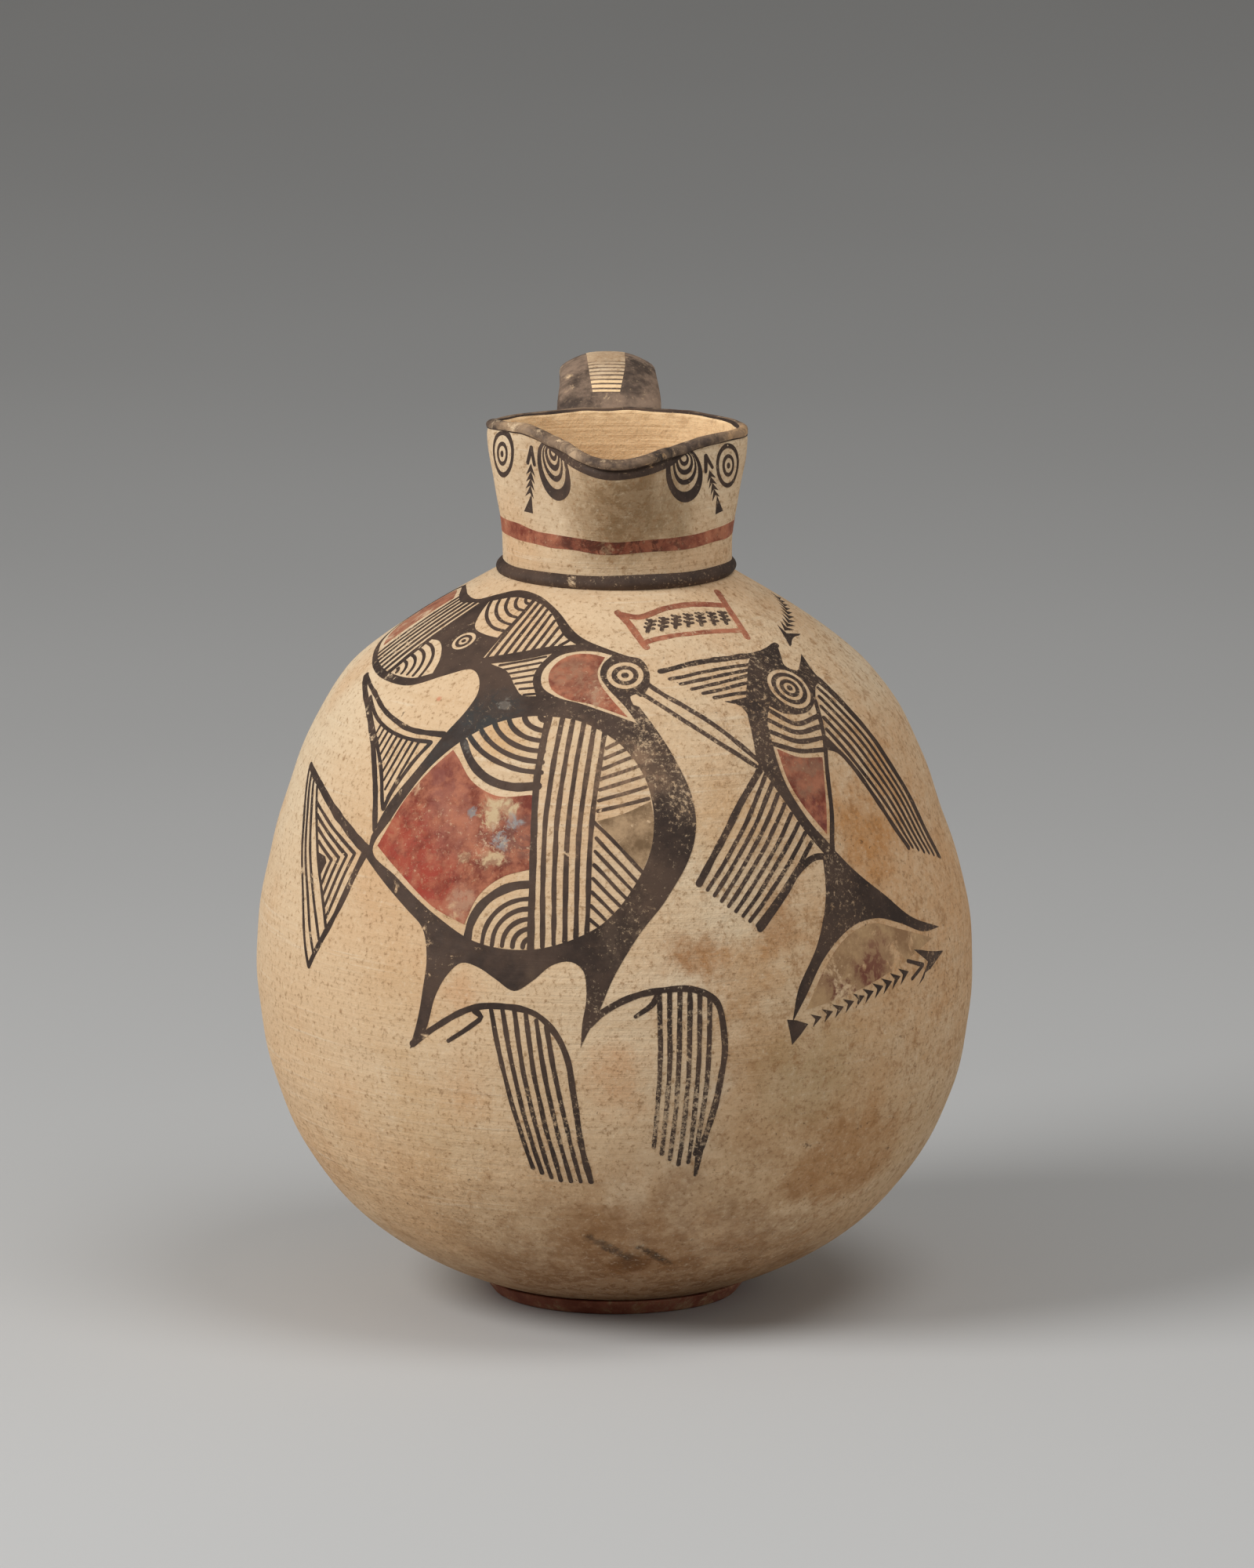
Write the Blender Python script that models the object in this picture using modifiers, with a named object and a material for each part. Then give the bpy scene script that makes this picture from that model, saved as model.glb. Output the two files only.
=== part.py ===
"""Wheel-made pottery jug with a pinched trefoil mouth, a strap handle and a ring foot.

Five clay pieces are made apart and luted together: body, foot ring, neck ring, neck and handle.
Metres, +Z up. The origin is on the jug's axis where it stands, and the spout faces -Y.
"""

import math

import bmesh
import bpy
from mathutils import Matrix, Vector

# Clay joint left between two pieces that touch
LUTE_GAP = 0.0003

# Body, measured outside, as stretches stacked up from the table
BASE_HEIGHT = 0.0047
BELLY_HEIGHT = 0.1076
SHOULDER_RISE = 0.0929
SHOULDER_CONE = 0.0336
BELLY_RADIUS = 0.114
SHOULDER_RADIUS = 0.084
BASE_SLOPE = math.radians(17.0)
SHOULDER_TURN = math.radians(17.7)
SHOULDER_CROWN = math.radians(5.2)
BOWL_FULLNESS = 1.18
WALL_FULLNESS = 0.85
BODY_WALL = 0.0055
BODY_FLOOR = 0.0075

# Ring foot under the body
FOOT_RADIUS = 0.039
FOOT_WIDTH = 0.010
FOOT_EDGE = 0.0010

# Neck, from its seat on the body up to the rim
NECK_RADIUS = 0.0363
NECK_LENGTH = 0.0454
NECK_WALL = 0.0045
PINCH_START = 0.30

# Low ridge round the foot of the neck
RIDGE_HEIGHT = 0.0052
RIDGE_DEPTH = 0.0019
RIDGE_EDGE = 0.0008

# Trefoil mouth: reach of each lobe from the axis, and where the fingers pressed it in
SPOUT_REACH = 0.047
SPOUT_DROP = 0.0050
SPOUT_FULLNESS = 1.6
PINCH_RADIUS = 0.0335
PINCH_ANGLE = math.radians(39.0)
LOBE_RADIUS = 0.0408
LOBE_ANGLE = math.radians(96.0)
MOUTH_BACK = 0.0315
LIP_HEIGHT = 0.0060
LIP_BEAD = 0.0011

# Strap handle from the back of the rim to the shoulder
HANDLE_WIDTH = 0.0305
HANDLE_THICKNESS = 0.0100
HANDLE_FACET = 0.0127
HANDLE_SIDE_DROP = 0.0042
HANDLE_EDGE = 0.0022
HANDLE_RISE = 0.0165
HANDLE_GAP = 0.030
HANDLE_LANDING = 0.076
HANDLE_FLARE = 1.08
HANDLE_ROOT_DROP = 0.012
HANDLE_SINK = 0.012
HANDLE_ROOT_HEADING = math.radians(50.0)
HANDLE_LANDING_HEADING = math.radians(-115.0)

# Where the strap runs straight down its back, and how far each bend pulls, as shares of its spans
HANDLE_WAIST = 0.55
TOP_PULL = 0.80
WAIST_PULL = 0.55
LANDING_PULL = 0.60

# Distance under which two points of a mesh are one
WELD = 0.00001

# Smoothness of the facets
TURN_STEPS = 56
ARC_STEPS = 7
LIP_STEPS = 5
NECK_LEVELS = 7
HANDLE_RESOLUTION = 7

SHOULDER_HEIGHT = BELLY_HEIGHT + SHOULDER_RISE
SEAT_HEIGHT = SHOULDER_HEIGHT + SHOULDER_CONE
NECK_FOOT = SEAT_HEIGHT + LUTE_GAP
RIM_HEIGHT = SEAT_HEIGHT + NECK_LENGTH
HANDLE_TOP = RIM_HEIGHT + HANDLE_RISE

CLAY = (0.66, 0.49, 0.29, 1.0)
RED_SLIP = (0.26, 0.075, 0.045, 1.0)
DARK_SLIP = (0.060, 0.043, 0.036, 1.0)

JUG_COLLECTION = "trefoil_jug"
CUTTER_COLLECTION = "cutters"


def clear_scene():
    for item in list(bpy.data.objects):
        bpy.data.objects.remove(item, do_unlink=True)


def add_collection(name):
    collection = bpy.data.collections.new(name)
    bpy.context.scene.collection.children.link(collection)
    return collection


def fired_clay(name, colour, roughness):
    material = bpy.data.materials.new(name)
    material.use_nodes = True
    shader = material.node_tree.nodes["Principled BSDF"]
    shader.inputs["Base Color"].default_value = colour
    shader.inputs["Roughness"].default_value = roughness
    shader.inputs["Metallic"].default_value = 0.0
    return material


def add_object(name, data, collection, material=None):
    item = bpy.data.objects.new(name, data)
    collection.objects.link(item)
    if material is not None:
        data.materials.append(material)
    return item


def as_cutter(item):
    item.hide_render = True
    item.display_type = "WIRE"
    return item


def tangents_meet(start, start_angle, end, end_angle):
    """Return the point where the tangents of an arc's two ends cross."""
    run = Vector((math.cos(start_angle), math.sin(start_angle)))
    back = Vector((math.cos(end_angle), math.sin(end_angle)))
    between = Vector(end) - Vector(start)
    along = (between.x * back.y - between.y * back.x) / (run.x * back.y - run.y * back.x)
    return Vector(start) + run * along


def conic_arc(start, start_angle, end, end_angle, fullness):
    """Return points of a conic arc that leaves and arrives at the given angles."""
    corner = tangents_meet(start, start_angle, end, end_angle)
    weight = math.cos((end_angle - start_angle) / 2) * fullness
    points = []
    for step in range(ARC_STEPS + 1):
        t = step / ARC_STEPS
        first = (1 - t) ** 2
        middle = 2 * weight * t * (1 - t)
        last = t ** 2
        point = Vector(start) * first + corner * middle + Vector(end) * last
        points.append(point / (first + middle + last))
    return points


def body_outline():
    """Return the body's outer half section as (radius, height), from the neck down to the foot."""
    up, down = math.pi / 2, -math.pi / 2
    belly = (BELLY_RADIUS, BELLY_HEIGHT)
    shoulder = (SHOULDER_RADIUS, SHOULDER_HEIGHT)
    seat = (NECK_RADIUS, SEAT_HEIGHT)
    foot = (FOOT_RADIUS, BASE_HEIGHT)
    cone_slope = math.atan2(SHOULDER_CONE, SHOULDER_RADIUS - NECK_RADIUS)
    shoulder_angle = math.pi - cone_slope - SHOULDER_TURN
    seat_angle = math.pi - cone_slope + SHOULDER_CROWN
    wall = conic_arc(belly, up, shoulder, shoulder_angle, WALL_FULLNESS)
    cone = conic_arc(shoulder, shoulder_angle, seat, seat_angle, 1.0)
    bowl = conic_arc(belly, down, foot, -math.pi + BASE_SLOPE, BOWL_FULLNESS)
    return cone[:0:-1] + wall[:0:-1] + bowl


def offset_outline(outline, distance):
    """Return an outline moved along its own normals, outward where the distance is positive."""
    moved = []
    for index, point in enumerate(outline):
        before = outline[max(index - 1, 0)]
        after = outline[min(index + 1, len(outline) - 1)]
        run = (after - before).normalized()
        moved.append(point + Vector((-run.y, run.x)) * distance)
    return moved


def shoulder_height(radius):
    """Return the height of the body's outside above its belly at a radius from the axis."""
    upper = [point for point in body_outline() if point.y >= BELLY_HEIGHT]
    for inner, outer in zip(upper, upper[1:]):
        if radius <= outer.x:
            share = (radius - inner.x) / (outer.x - inner.x)
            return inner.y + share * (outer.y - inner.y)
    return BELLY_HEIGHT


def turned(name, profile, closed, collection, material=None):
    """Return an object turned about Z from a profile that runs down its outer side."""
    mesh = bpy.data.meshes.new(name)
    vertices = [(point[0], 0.0, point[1]) for point in profile]
    edges = [(index, index + 1) for index in range(len(vertices) - 1)]
    if closed:
        edges.append((len(vertices) - 1, 0))
    mesh.from_pydata(vertices, edges, [])
    item = add_object(name, mesh, collection, material)
    screw = item.modifiers.new("turn", "SCREW")
    screw.axis = "Z"
    screw.angle = math.tau
    screw.steps = TURN_STEPS
    screw.render_steps = TURN_STEPS
    screw.use_merge_vertices = True
    screw.merge_threshold = WELD
    screw.use_smooth_shade = True
    return item


def make_body(collection, material):
    outline = body_outline()
    floor = BASE_HEIGHT + BODY_FLOOR
    bore = NECK_RADIUS - NECK_WALL
    inside = [point for point in offset_outline(outline, -BODY_WALL) if point.y > floor and point.x > bore]
    profile = [(0.0, floor), (inside[-1].x, floor)]
    profile += [tuple(point) for point in reversed(inside)]
    profile += [(bore, SEAT_HEIGHT)]
    profile += [tuple(point) for point in outline]
    profile += [(0.0, BASE_HEIGHT)]
    return turned("body", profile, False, collection, material)


def make_foot_ring(collection, material):
    inner = FOOT_RADIUS - FOOT_WIDTH
    top = BASE_HEIGHT - LUTE_GAP
    profile = [
        (inner, top),
        (FOOT_RADIUS, top),
        (FOOT_RADIUS, FOOT_EDGE),
        (FOOT_RADIUS - FOOT_EDGE, 0.0),
        (inner + FOOT_EDGE, 0.0),
        (inner, FOOT_EDGE),
    ]
    return turned("foot_ring", profile, True, collection, material)


def make_neck_ring(collection, material):
    inner = NECK_RADIUS + LUTE_GAP
    outer = inner + RIDGE_DEPTH
    lift = LUTE_GAP / math.cos(math.atan2(SHOULDER_CONE, SHOULDER_RADIUS - NECK_RADIUS))
    foot_inside = shoulder_height(inner) + lift
    foot_outside = shoulder_height(outer) + lift
    top = foot_inside + RIDGE_HEIGHT
    profile = [
        (inner, top),
        (outer - RIDGE_EDGE, top),
        (outer, top - RIDGE_EDGE),
        (outer, foot_outside),
        (inner, foot_inside),
    ]
    return turned("neck_ring", profile, True, collection, material)


def eased(share):
    """Return a share from 0 to 1 that starts and stops gently."""
    held = min(max(share, 0.0), 1.0)
    return (1 - math.cos(math.pi * held)) / 2


def mouth_radius(angle):
    """Return the trefoil's reach at an angle from the spout, from 0 at the front to pi at the back."""
    if angle < PINCH_ANGLE:
        share = eased((angle / PINCH_ANGLE) ** SPOUT_FULLNESS)
        return SPOUT_REACH + (PINCH_RADIUS - SPOUT_REACH) * share
    if angle < LOBE_ANGLE:
        share = eased((angle - PINCH_ANGLE) / (LOBE_ANGLE - PINCH_ANGLE))
        return PINCH_RADIUS + (LOBE_RADIUS - PINCH_RADIUS) * share
    share = eased((angle - LOBE_ANGLE) / (math.pi - LOBE_ANGLE))
    return LOBE_RADIUS + (MOUTH_BACK - LOBE_RADIUS) * share


def rim_height(angle):
    """Return the rim's height, which dips towards the spout."""
    return RIM_HEIGHT - SPOUT_DROP * (1 - eased(angle / LOBE_ANGLE))


def neck_ring_of_points(level, drop, offset):
    """Return one closed level of the neck, at a share of its height less a drop, moved outward."""
    points = []
    for step in range(TURN_STEPS):
        turn = math.tau * step / TURN_STEPS
        angle = abs(math.remainder(turn + math.pi / 2, math.tau))
        blend = eased((level - PINCH_START) / (1 - PINCH_START))
        reach = NECK_RADIUS + (mouth_radius(angle) - NECK_RADIUS) * blend + offset
        height = NECK_FOOT + (rim_height(angle) - NECK_FOOT) * level - drop
        points.append((reach * math.cos(turn), reach * math.sin(turn), height))
    return points


def loft(name, rings, closed, collection, material=None):
    """Return a mesh skinned over closed levels of points, closed on itself or capped at both ends."""
    mesh = bpy.data.meshes.new(name)
    skin = bmesh.new()
    rows = [[skin.verts.new(point) for point in ring] for ring in rings]
    pairs = list(zip(rows, rows[1:]))
    if closed:
        pairs.append((rows[-1], rows[0]))
    for lower, upper in pairs:
        for index in range(len(lower)):
            after = (index + 1) % len(lower)
            skin.faces.new((lower[index], lower[after], upper[after], upper[index]))
    if not closed:
        skin.faces.new(rows[0])
        skin.faces.new(rows[-1])
    bmesh.ops.recalc_face_normals(skin, faces=skin.faces)
    skin.to_mesh(mesh)
    skin.free()
    mesh.shade_smooth()
    return add_object(name, mesh, collection, material)


def make_neck(collection, material):
    lip_level = 1 - LIP_HEIGHT / NECK_LENGTH
    lip_radius = (NECK_WALL + LIP_BEAD) / 2
    levels = [lip_level * step / NECK_LEVELS for step in range(NECK_LEVELS + 1)]
    rings = [neck_ring_of_points(level, 0.0, 0.0) for level in levels]
    for step in range(LIP_STEPS + 1):
        turn = math.pi * step / LIP_STEPS
        offset = LIP_BEAD - lip_radius + lip_radius * math.cos(turn)
        drop = lip_radius - lip_radius * math.sin(turn)
        rings.append(neck_ring_of_points(1.0, drop, offset))
    rings += [neck_ring_of_points(level, 0.0, -NECK_WALL) for level in reversed(levels)]
    return loft("neck", rings, True, collection, material)


def make_neck_cutter(collection):
    """Return the neck as a filled solid, larger all round by the clay joint."""
    grown = LIP_BEAD + LUTE_GAP
    lip_level = 1 - LIP_HEIGHT / NECK_LENGTH
    levels = [lip_level * step / NECK_LEVELS for step in range(NECK_LEVELS + 1)]
    rings = [neck_ring_of_points(level, 0.0, LUTE_GAP) for level in levels]
    rings.append(neck_ring_of_points(1.0, (NECK_WALL + LIP_BEAD) / 2, grown))
    rings.append(neck_ring_of_points(1.0, -LUTE_GAP, grown))
    return as_cutter(loft("neck_cutter", rings, False, collection))


def make_shoulder_cutter(collection):
    """Return the body's outside as a filled solid, larger all round by the clay joint."""
    grown = offset_outline(body_outline(), LUTE_GAP)
    profile = [(0.0, grown[0].y)]
    profile += [tuple(point) for point in grown]
    profile += [(0.0, grown[-1].y)]
    return as_cutter(turned("shoulder_cutter", profile, False, collection))


def make_handle_section(collection):
    """Return the strap's section: flat on top, falling away to both edges, rounded underneath."""
    half_width = HANDLE_WIDTH / 2
    half_thick = HANDLE_THICKNESS / 2
    half = [
        (-half_thick, HANDLE_FACET / 2),
        (HANDLE_SIDE_DROP - half_thick, half_width),
        (half_thick - HANDLE_EDGE, half_width),
        (half_thick, half_width - HANDLE_EDGE),
    ]
    points = half + [(across, -along) for across, along in reversed(half)]
    curve = bpy.data.curves.new("handle_section", "CURVE")
    curve.dimensions = "2D"
    spline = curve.splines.new("POLY")
    spline.points.add(len(points) - 1)
    for target, (across, along) in zip(spline.points, points):
        target.co = (across, along, 0.0, 1.0)
    spline.use_cyclic_u = True
    return as_cutter(add_object("handle_section", curve, collection))


def handle_stations():
    """Return the strap's middle line as (distance behind the axis, height, heading, pull, size)."""
    half_thick = HANDLE_THICKNESS / 2
    root_reach = MOUTH_BACK + half_thick
    back_reach = NECK_RADIUS + HANDLE_GAP + HANDLE_THICKNESS + half_thick
    top_reach = (root_reach + back_reach) / 2
    top = HANDLE_TOP - half_thick
    landing = shoulder_height(HANDLE_LANDING)
    waist = landing + (top - landing) * HANDLE_WAIST
    root = RIM_HEIGHT - HANDLE_ROOT_DROP
    top_pull = (top_reach - root_reach) * TOP_PULL
    waist_pull = (top - waist) * WAIST_PULL
    landing_pull = (waist - landing) * LANDING_PULL
    return [
        (root_reach - HANDLE_THICKNESS, root, HANDLE_ROOT_HEADING, HANDLE_THICKNESS, HANDLE_FLARE),
        (top_reach, top, 0.0, top_pull, 1.0),
        (back_reach, waist, -math.pi / 2, waist_pull, 1.0),
        (HANDLE_LANDING, landing - HANDLE_SINK, HANDLE_LANDING_HEADING, landing_pull, HANDLE_FLARE),
    ]


def make_handle_strap(section, collection, material):
    """Return the bent strap as a mesh, its ends still running on into the neck and the body."""
    curve = bpy.data.curves.new("strap", "CURVE")
    curve.dimensions = "2D"
    curve.resolution_u = HANDLE_RESOLUTION
    curve.render_resolution_u = HANDLE_RESOLUTION
    curve.bevel_mode = "OBJECT"
    curve.bevel_object = section
    curve.use_fill_caps = True
    spline = curve.splines.new("BEZIER")
    stations = handle_stations()
    spline.bezier_points.add(len(stations) - 1)
    for target, (reach, height, heading, pull, size) in zip(spline.bezier_points, stations):
        step = Vector((math.cos(heading), math.sin(heading), 0.0)) * pull
        target.co = (reach, height, 0.0)
        target.handle_left = target.co - step
        target.handle_right = target.co + step
        target.radius = size
    bent = add_object("strap", curve, collection)
    bent.matrix_world = Matrix(((0, 0, 1, 0), (1, 0, 0, 0), (0, 1, 0, 0), (0, 0, 0, 1)))
    bpy.context.view_layer.update()
    evaluated = bent.evaluated_get(bpy.context.evaluated_depsgraph_get())
    mesh = bpy.data.meshes.new_from_object(evaluated)
    mesh.transform(bent.matrix_world)
    bpy.data.objects.remove(bent, do_unlink=True)
    skin = bmesh.new()
    skin.from_mesh(mesh)
    bmesh.ops.remove_doubles(skin, verts=skin.verts, dist=WELD)
    bmesh.ops.recalc_face_normals(skin, faces=skin.faces)
    skin.to_mesh(mesh)
    skin.free()
    mesh.name = "handle"
    mesh.materials.clear()
    return add_object("handle", mesh, collection, material)


def cut(item, cutter):
    boolean = item.modifiers.new("cut_by_" + cutter.name, "BOOLEAN")
    boolean.operation = "DIFFERENCE"
    boolean.solver = "EXACT"
    boolean.object = cutter


def make_handle(collection, cutters, material):
    section = make_handle_section(cutters)
    handle = make_handle_strap(section, collection, material)
    cut(handle, make_neck_cutter(cutters))
    cut(handle, make_shoulder_cutter(cutters))
    return handle


def main():
    clear_scene()
    jug = add_collection(JUG_COLLECTION)
    cutters = add_collection(CUTTER_COLLECTION)
    make_body(jug, fired_clay("body_clay", CLAY, 0.82))
    make_foot_ring(jug, fired_clay("foot_red_slip", RED_SLIP, 0.80))
    make_neck_ring(jug, fired_clay("ridge_dark_slip", DARK_SLIP, 0.72))
    make_neck(jug, fired_clay("neck_clay", CLAY, 0.82))
    make_handle(jug, cutters, fired_clay("handle_dark_slip", DARK_SLIP, 0.74))


main()
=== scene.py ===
"""Looks of a painted pottery jug: clay surfaces, slip painting, stage, light and camera.

The clay pieces are fine meshes that stand for the CAD nodes. The painting is thin films of slip that lie
on the clay. It is drawn on unrolled charts of the surfaces, in millimetres, and wrapped onto them.
"""

import math

import bmesh
import bpy
import numpy as np
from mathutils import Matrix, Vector, noise
from mathutils.geometry import delaunay_2d_cdt


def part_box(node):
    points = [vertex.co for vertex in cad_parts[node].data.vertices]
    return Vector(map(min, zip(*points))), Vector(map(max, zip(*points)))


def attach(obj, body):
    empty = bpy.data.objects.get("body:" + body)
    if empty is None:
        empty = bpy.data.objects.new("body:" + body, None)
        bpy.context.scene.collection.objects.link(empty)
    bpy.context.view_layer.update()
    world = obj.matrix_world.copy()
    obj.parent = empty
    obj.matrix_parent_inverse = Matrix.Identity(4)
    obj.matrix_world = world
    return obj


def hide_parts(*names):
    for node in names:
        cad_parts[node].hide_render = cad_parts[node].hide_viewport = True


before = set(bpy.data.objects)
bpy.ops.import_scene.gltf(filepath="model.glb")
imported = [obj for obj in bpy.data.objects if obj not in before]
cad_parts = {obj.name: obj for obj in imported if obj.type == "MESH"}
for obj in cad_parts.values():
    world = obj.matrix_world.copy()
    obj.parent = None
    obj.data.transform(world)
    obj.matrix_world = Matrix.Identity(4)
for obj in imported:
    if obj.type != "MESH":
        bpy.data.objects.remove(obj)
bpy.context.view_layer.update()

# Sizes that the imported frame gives. The handle hangs a little lower than its solid.
HANDLE_DROP = 0.0024
BELLY_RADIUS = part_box("body")[1][0]
BASE_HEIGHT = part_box("body")[0][2]
SEAT_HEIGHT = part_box("body")[1][2]
FOOT_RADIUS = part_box("foot_ring")[1][0]
HANDLE_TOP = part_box("handle")[1][2] - HANDLE_DROP

# Body section, the same three arcs as the solid
BELLY_HEIGHT = 0.1076
SHOULDER_HEIGHT = 0.2005
SHOULDER_RADIUS = 0.084
BASE_SLOPE = math.radians(17.0)
SHOULDER_TURN = math.radians(17.7)
SHOULDER_CROWN = math.radians(5.2)
ARC_STEPS = 160
BOWL_FULLNESS = 1.18
WALL_FULLNESS = 0.85
BODY_WALL = 0.0055
BODY_FLOOR = 0.0075

# Ring foot: how its side stands off the foot's radius from the ground up, and its round edges
FOOT_WIDTH = 0.010
FOOT_TUCK = 0.0004
FOOT_SWELL = 0.0014
FOOT_FLARE = 0.0034
FOOT_EDGE = 0.0011
FOOT_LAP = 0.0004

# Neck and trefoil mouth
NECK_RADIUS = 0.0363
NECK_WALL = 0.0045
RIM_HEIGHT = 0.2795
NECK_LENGTH = RIM_HEIGHT - SEAT_HEIGHT
PINCH_START = 0.10
SPOUT_REACH = 0.047
SPOUT_FULLNESS = 1.15
PINCH_RADIUS = 0.0314
PINCH_ANGLE = math.radians(42.0)
LOBE_RADIUS = 0.0420
LOBE_ANGLE = math.radians(96.0)
MOUTH_BACK = 0.0315
NECK_RIPPLE = 0.00008

# The rim's dips and rises. The sag is a depth, a place and a spread in degrees from the spout.
SPOUT_DROP = 0.0031
DIP_TURN = math.radians(28.0)
RIGHT_SAG = (0.0023, 38.0, 16.0)
LEFT_RISE = 0.0035
LEFT_RISE_PLACE = -66.0
LEFT_RISE_BEHIND = 36.0
LEFT_RISE_BEFORE = 17.0
BACK_RISE = 0.0014
BACK_RISE_START = 1.7
BACK_RISE_TURN = 1.4
RIM_WAVER = 0.00012

# Rolled lip: an oval bead with a crease under it
LIP_OUT = 0.0007
LIP_LOBE_OUT = -0.0004
LIP_UP = 0.0020
LIP_START = math.radians(-50.0)
LIP_END = math.radians(180.0)
LIP_PACE = 0.0025
LIP_CREASE = 0.0009
CREASE_LEAST = 0.25
CREASE_WIDTH = 0.0007
LIP_SETTLE = 0.006
LIP_SLIGHT = 0.80
LIP_FADE = 6
LIP_COARSE = 0.00016
LIP_FINE = 0.00010

# Chips out of the lip: angle from the spout, place on the roll from 0 to 1, and size
CHIPS = [
    (0.42, 0.45, 0.0016),
    (-0.62, 0.55, 0.0012),
    (1.45, 0.4, 0.0014),
    (-1.75, 0.5, 0.0015),
    (2.5, 0.5, 0.0012),
]
CHIP_DEPTH = 0.00055
CHIP_LENGTH = 1.5

# Ridge at the foot of the neck
RIDGE_HEIGHT = 0.0046
RIDGE_LOW = 0.0008
RIDGE_DEPTH = 0.0019
RIDGE_BURIED = 0.0004
RIDGE_SPREAD = 0.0011
RIDGE_ROUND = 0.8
RIDGE_TILT = 0.00040
RIDGE_SAG = 0.00025
RIDGE_WAVER = 0.00015
RIDGE_BACK = 0.0014
RIDGE_BACK_LEVELS = (0.0026, -0.0012)

# Strap handle
HANDLE_WIDTH = 0.0305
HANDLE_THICKNESS = 0.0100
HANDLE_FACET = 0.0127
HANDLE_SIDE_DROP = 0.0042
HANDLE_EDGE = 0.0022
HANDLE_ROUND = 0.0042
HANDLE_GAP = 0.030
HANDLE_LANDING = 0.076
HANDLE_ROOT_DROP = 0.0075
HANDLE_SINK = 0.012
HANDLE_ROOT_HEADING = math.radians(40.0)
HANDLE_LANDING_HEADING = math.radians(-115.0)
HANDLE_WAIST = 0.55
TOP_PULL = 0.80
WAIST_PULL = 0.55
LANDING_PULL = 0.60
HANDLE_FLARE = 0.09
FLARE_REACH = 0.012
ROOT_RUN = 0.012
LANDING_RUN = 0.014
LANDING_FILLET = 0.0065
LANDING_DEPTH = 0.0016
ROOT_FILLET = 0.0030
ROOT_DEPTH = 0.0026
ROOT_UNDERSIDE = 0.3

# Ladder panel on the strap: how far from the strap's ends it starts and stops, in metres, and then its rungs
# and where they are rubbed off about the crown, in millimetres
PANEL_START = 0.0138
PANEL_STOP = 0.024
RUNG_GAP = 1.9
RUNG_WIDTH = 0.65
RUBBED_FROM = -9.0
RUBBED_TO = 5.0

# The potter's hand: the neck and the handle stand a little off, and the strap sways
NECK_SHIFT = 0.0006
HANDLE_SHIFT = -0.0024
HANDLE_SWAY = 0.0004
SWAY_LENGTH = 0.011

# The body's lean to the left and the swells of its flanks: depth, height and spread
LEAN = (-0.0020, 0.197, 0.035)
RIGHT_SWELL = (0.0012, 0.188, 0.010)
RIGHT_HOLLOW = (-0.0014, 0.155, 0.015)
LEFT_SWELL = (0.0008, 0.115, 0.020)

# The body's fine unevenness, which dies out at its two ends
OUT_OF_ROUND = 0.00030
WHEEL_RIDGE = 0.00012
WHEEL_PITCH = 0.0038
DENT = 0.00018
DENT_SLANT = 0.021
DENT_PITCH = 0.013
EVEN_END = 0.006

# Slip film over the clay, and how deep its underside is buried
FILM = 0.00009
BURIED = 0.00006

# The brush: steps and wobbles in millimetres, wobbles per millimetre and their step from stroke to stroke
LINE_STEP = 1.3
WOBBLE = 0.16
WOBBLE_RATE = 0.11
WOBBLE_STEP = 3.7
FILL_WOBBLE = 0.6
DISC_WOBBLE = 0.7
WIDTH_WOBBLE = 0.22
WIDTH_RATE = 0.23
WIDTH_STEP = 1.9
BAND_WOBBLE = 0.55
BAND_RATE = 0.09
BAND_CLOSE = 8
SAG_SHARE = 0.22

# The brush wobbles alike in every run
noise.seed_set(1)

# Charts: millimetres, the reach of a look round a point, the least area of a shape and the weld of points
MM = 0.001
PER_METRE = 1 / MM
PROBE = 0.4
LEAST_AREA = 1e-4
WELD = 1e-5


def bulge(value, depth, middle, spread):
    """Return a soft swelling of a depth about a middle."""
    return depth * np.exp(-((value - middle) / spread) ** 2)


def eased(share):
    return (1 - np.cos(np.pi * np.clip(share, 0.0, 1.0))) / 2


def turned(reach, turn, height, shift=0.0):
    """Return points at a reach from the axis and an angle from the front."""
    return np.stack((reach * np.sin(turn) + shift, -reach * np.cos(turn), height), axis=-1)


def run_along(line):
    """Return how far along a line each of its points lies."""
    return np.concatenate(((0.0,), np.cumsum(np.hypot(*np.diff(line, axis=0).T))))


def conic_arc(start, start_angle, end, end_angle, fullness):
    """Return points of a conic arc that leaves and arrives at the given angles."""
    run = np.array((math.cos(start_angle), math.sin(start_angle)))
    back = np.array((math.cos(end_angle), math.sin(end_angle)))
    between = np.subtract(end, start)
    along = (between[0] * back[1] - between[1] * back[0]) / (run[0] * back[1] - run[1] * back[0])
    corner = np.array(start) + run * along
    weight = math.cos((end_angle - start_angle) / 2) * fullness
    t = np.linspace(0.0, 1.0, ARC_STEPS + 1)[:, None]
    first, middle, last = (1 - t) ** 2, 2 * weight * t * (1 - t), t ** 2
    return (np.array(start) * first + corner * middle + np.array(end) * last) / (first + middle + last)


def body_section():
    """Return the body's outer half section as (radius, height), from the foot up to the neck."""
    belly = (BELLY_RADIUS, BELLY_HEIGHT)
    shoulder = (SHOULDER_RADIUS, SHOULDER_HEIGHT)
    seat = (NECK_RADIUS, SEAT_HEIGHT)
    foot = (FOOT_RADIUS, BASE_HEIGHT)
    slope = math.atan2(SEAT_HEIGHT - SHOULDER_HEIGHT, SHOULDER_RADIUS - NECK_RADIUS)
    turn = math.pi - slope - SHOULDER_TURN
    bowl = conic_arc(belly, -math.pi / 2, foot, -math.pi + BASE_SLOPE, BOWL_FULLNESS)
    wall = conic_arc(belly, math.pi / 2, shoulder, turn, WALL_FULLNESS)
    cone = conic_arc(shoulder, turn, seat, math.pi - slope + SHOULDER_CROWN, 1.0)
    return np.vstack((bowl[::-1], wall[1:], cone[1:]))


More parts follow.
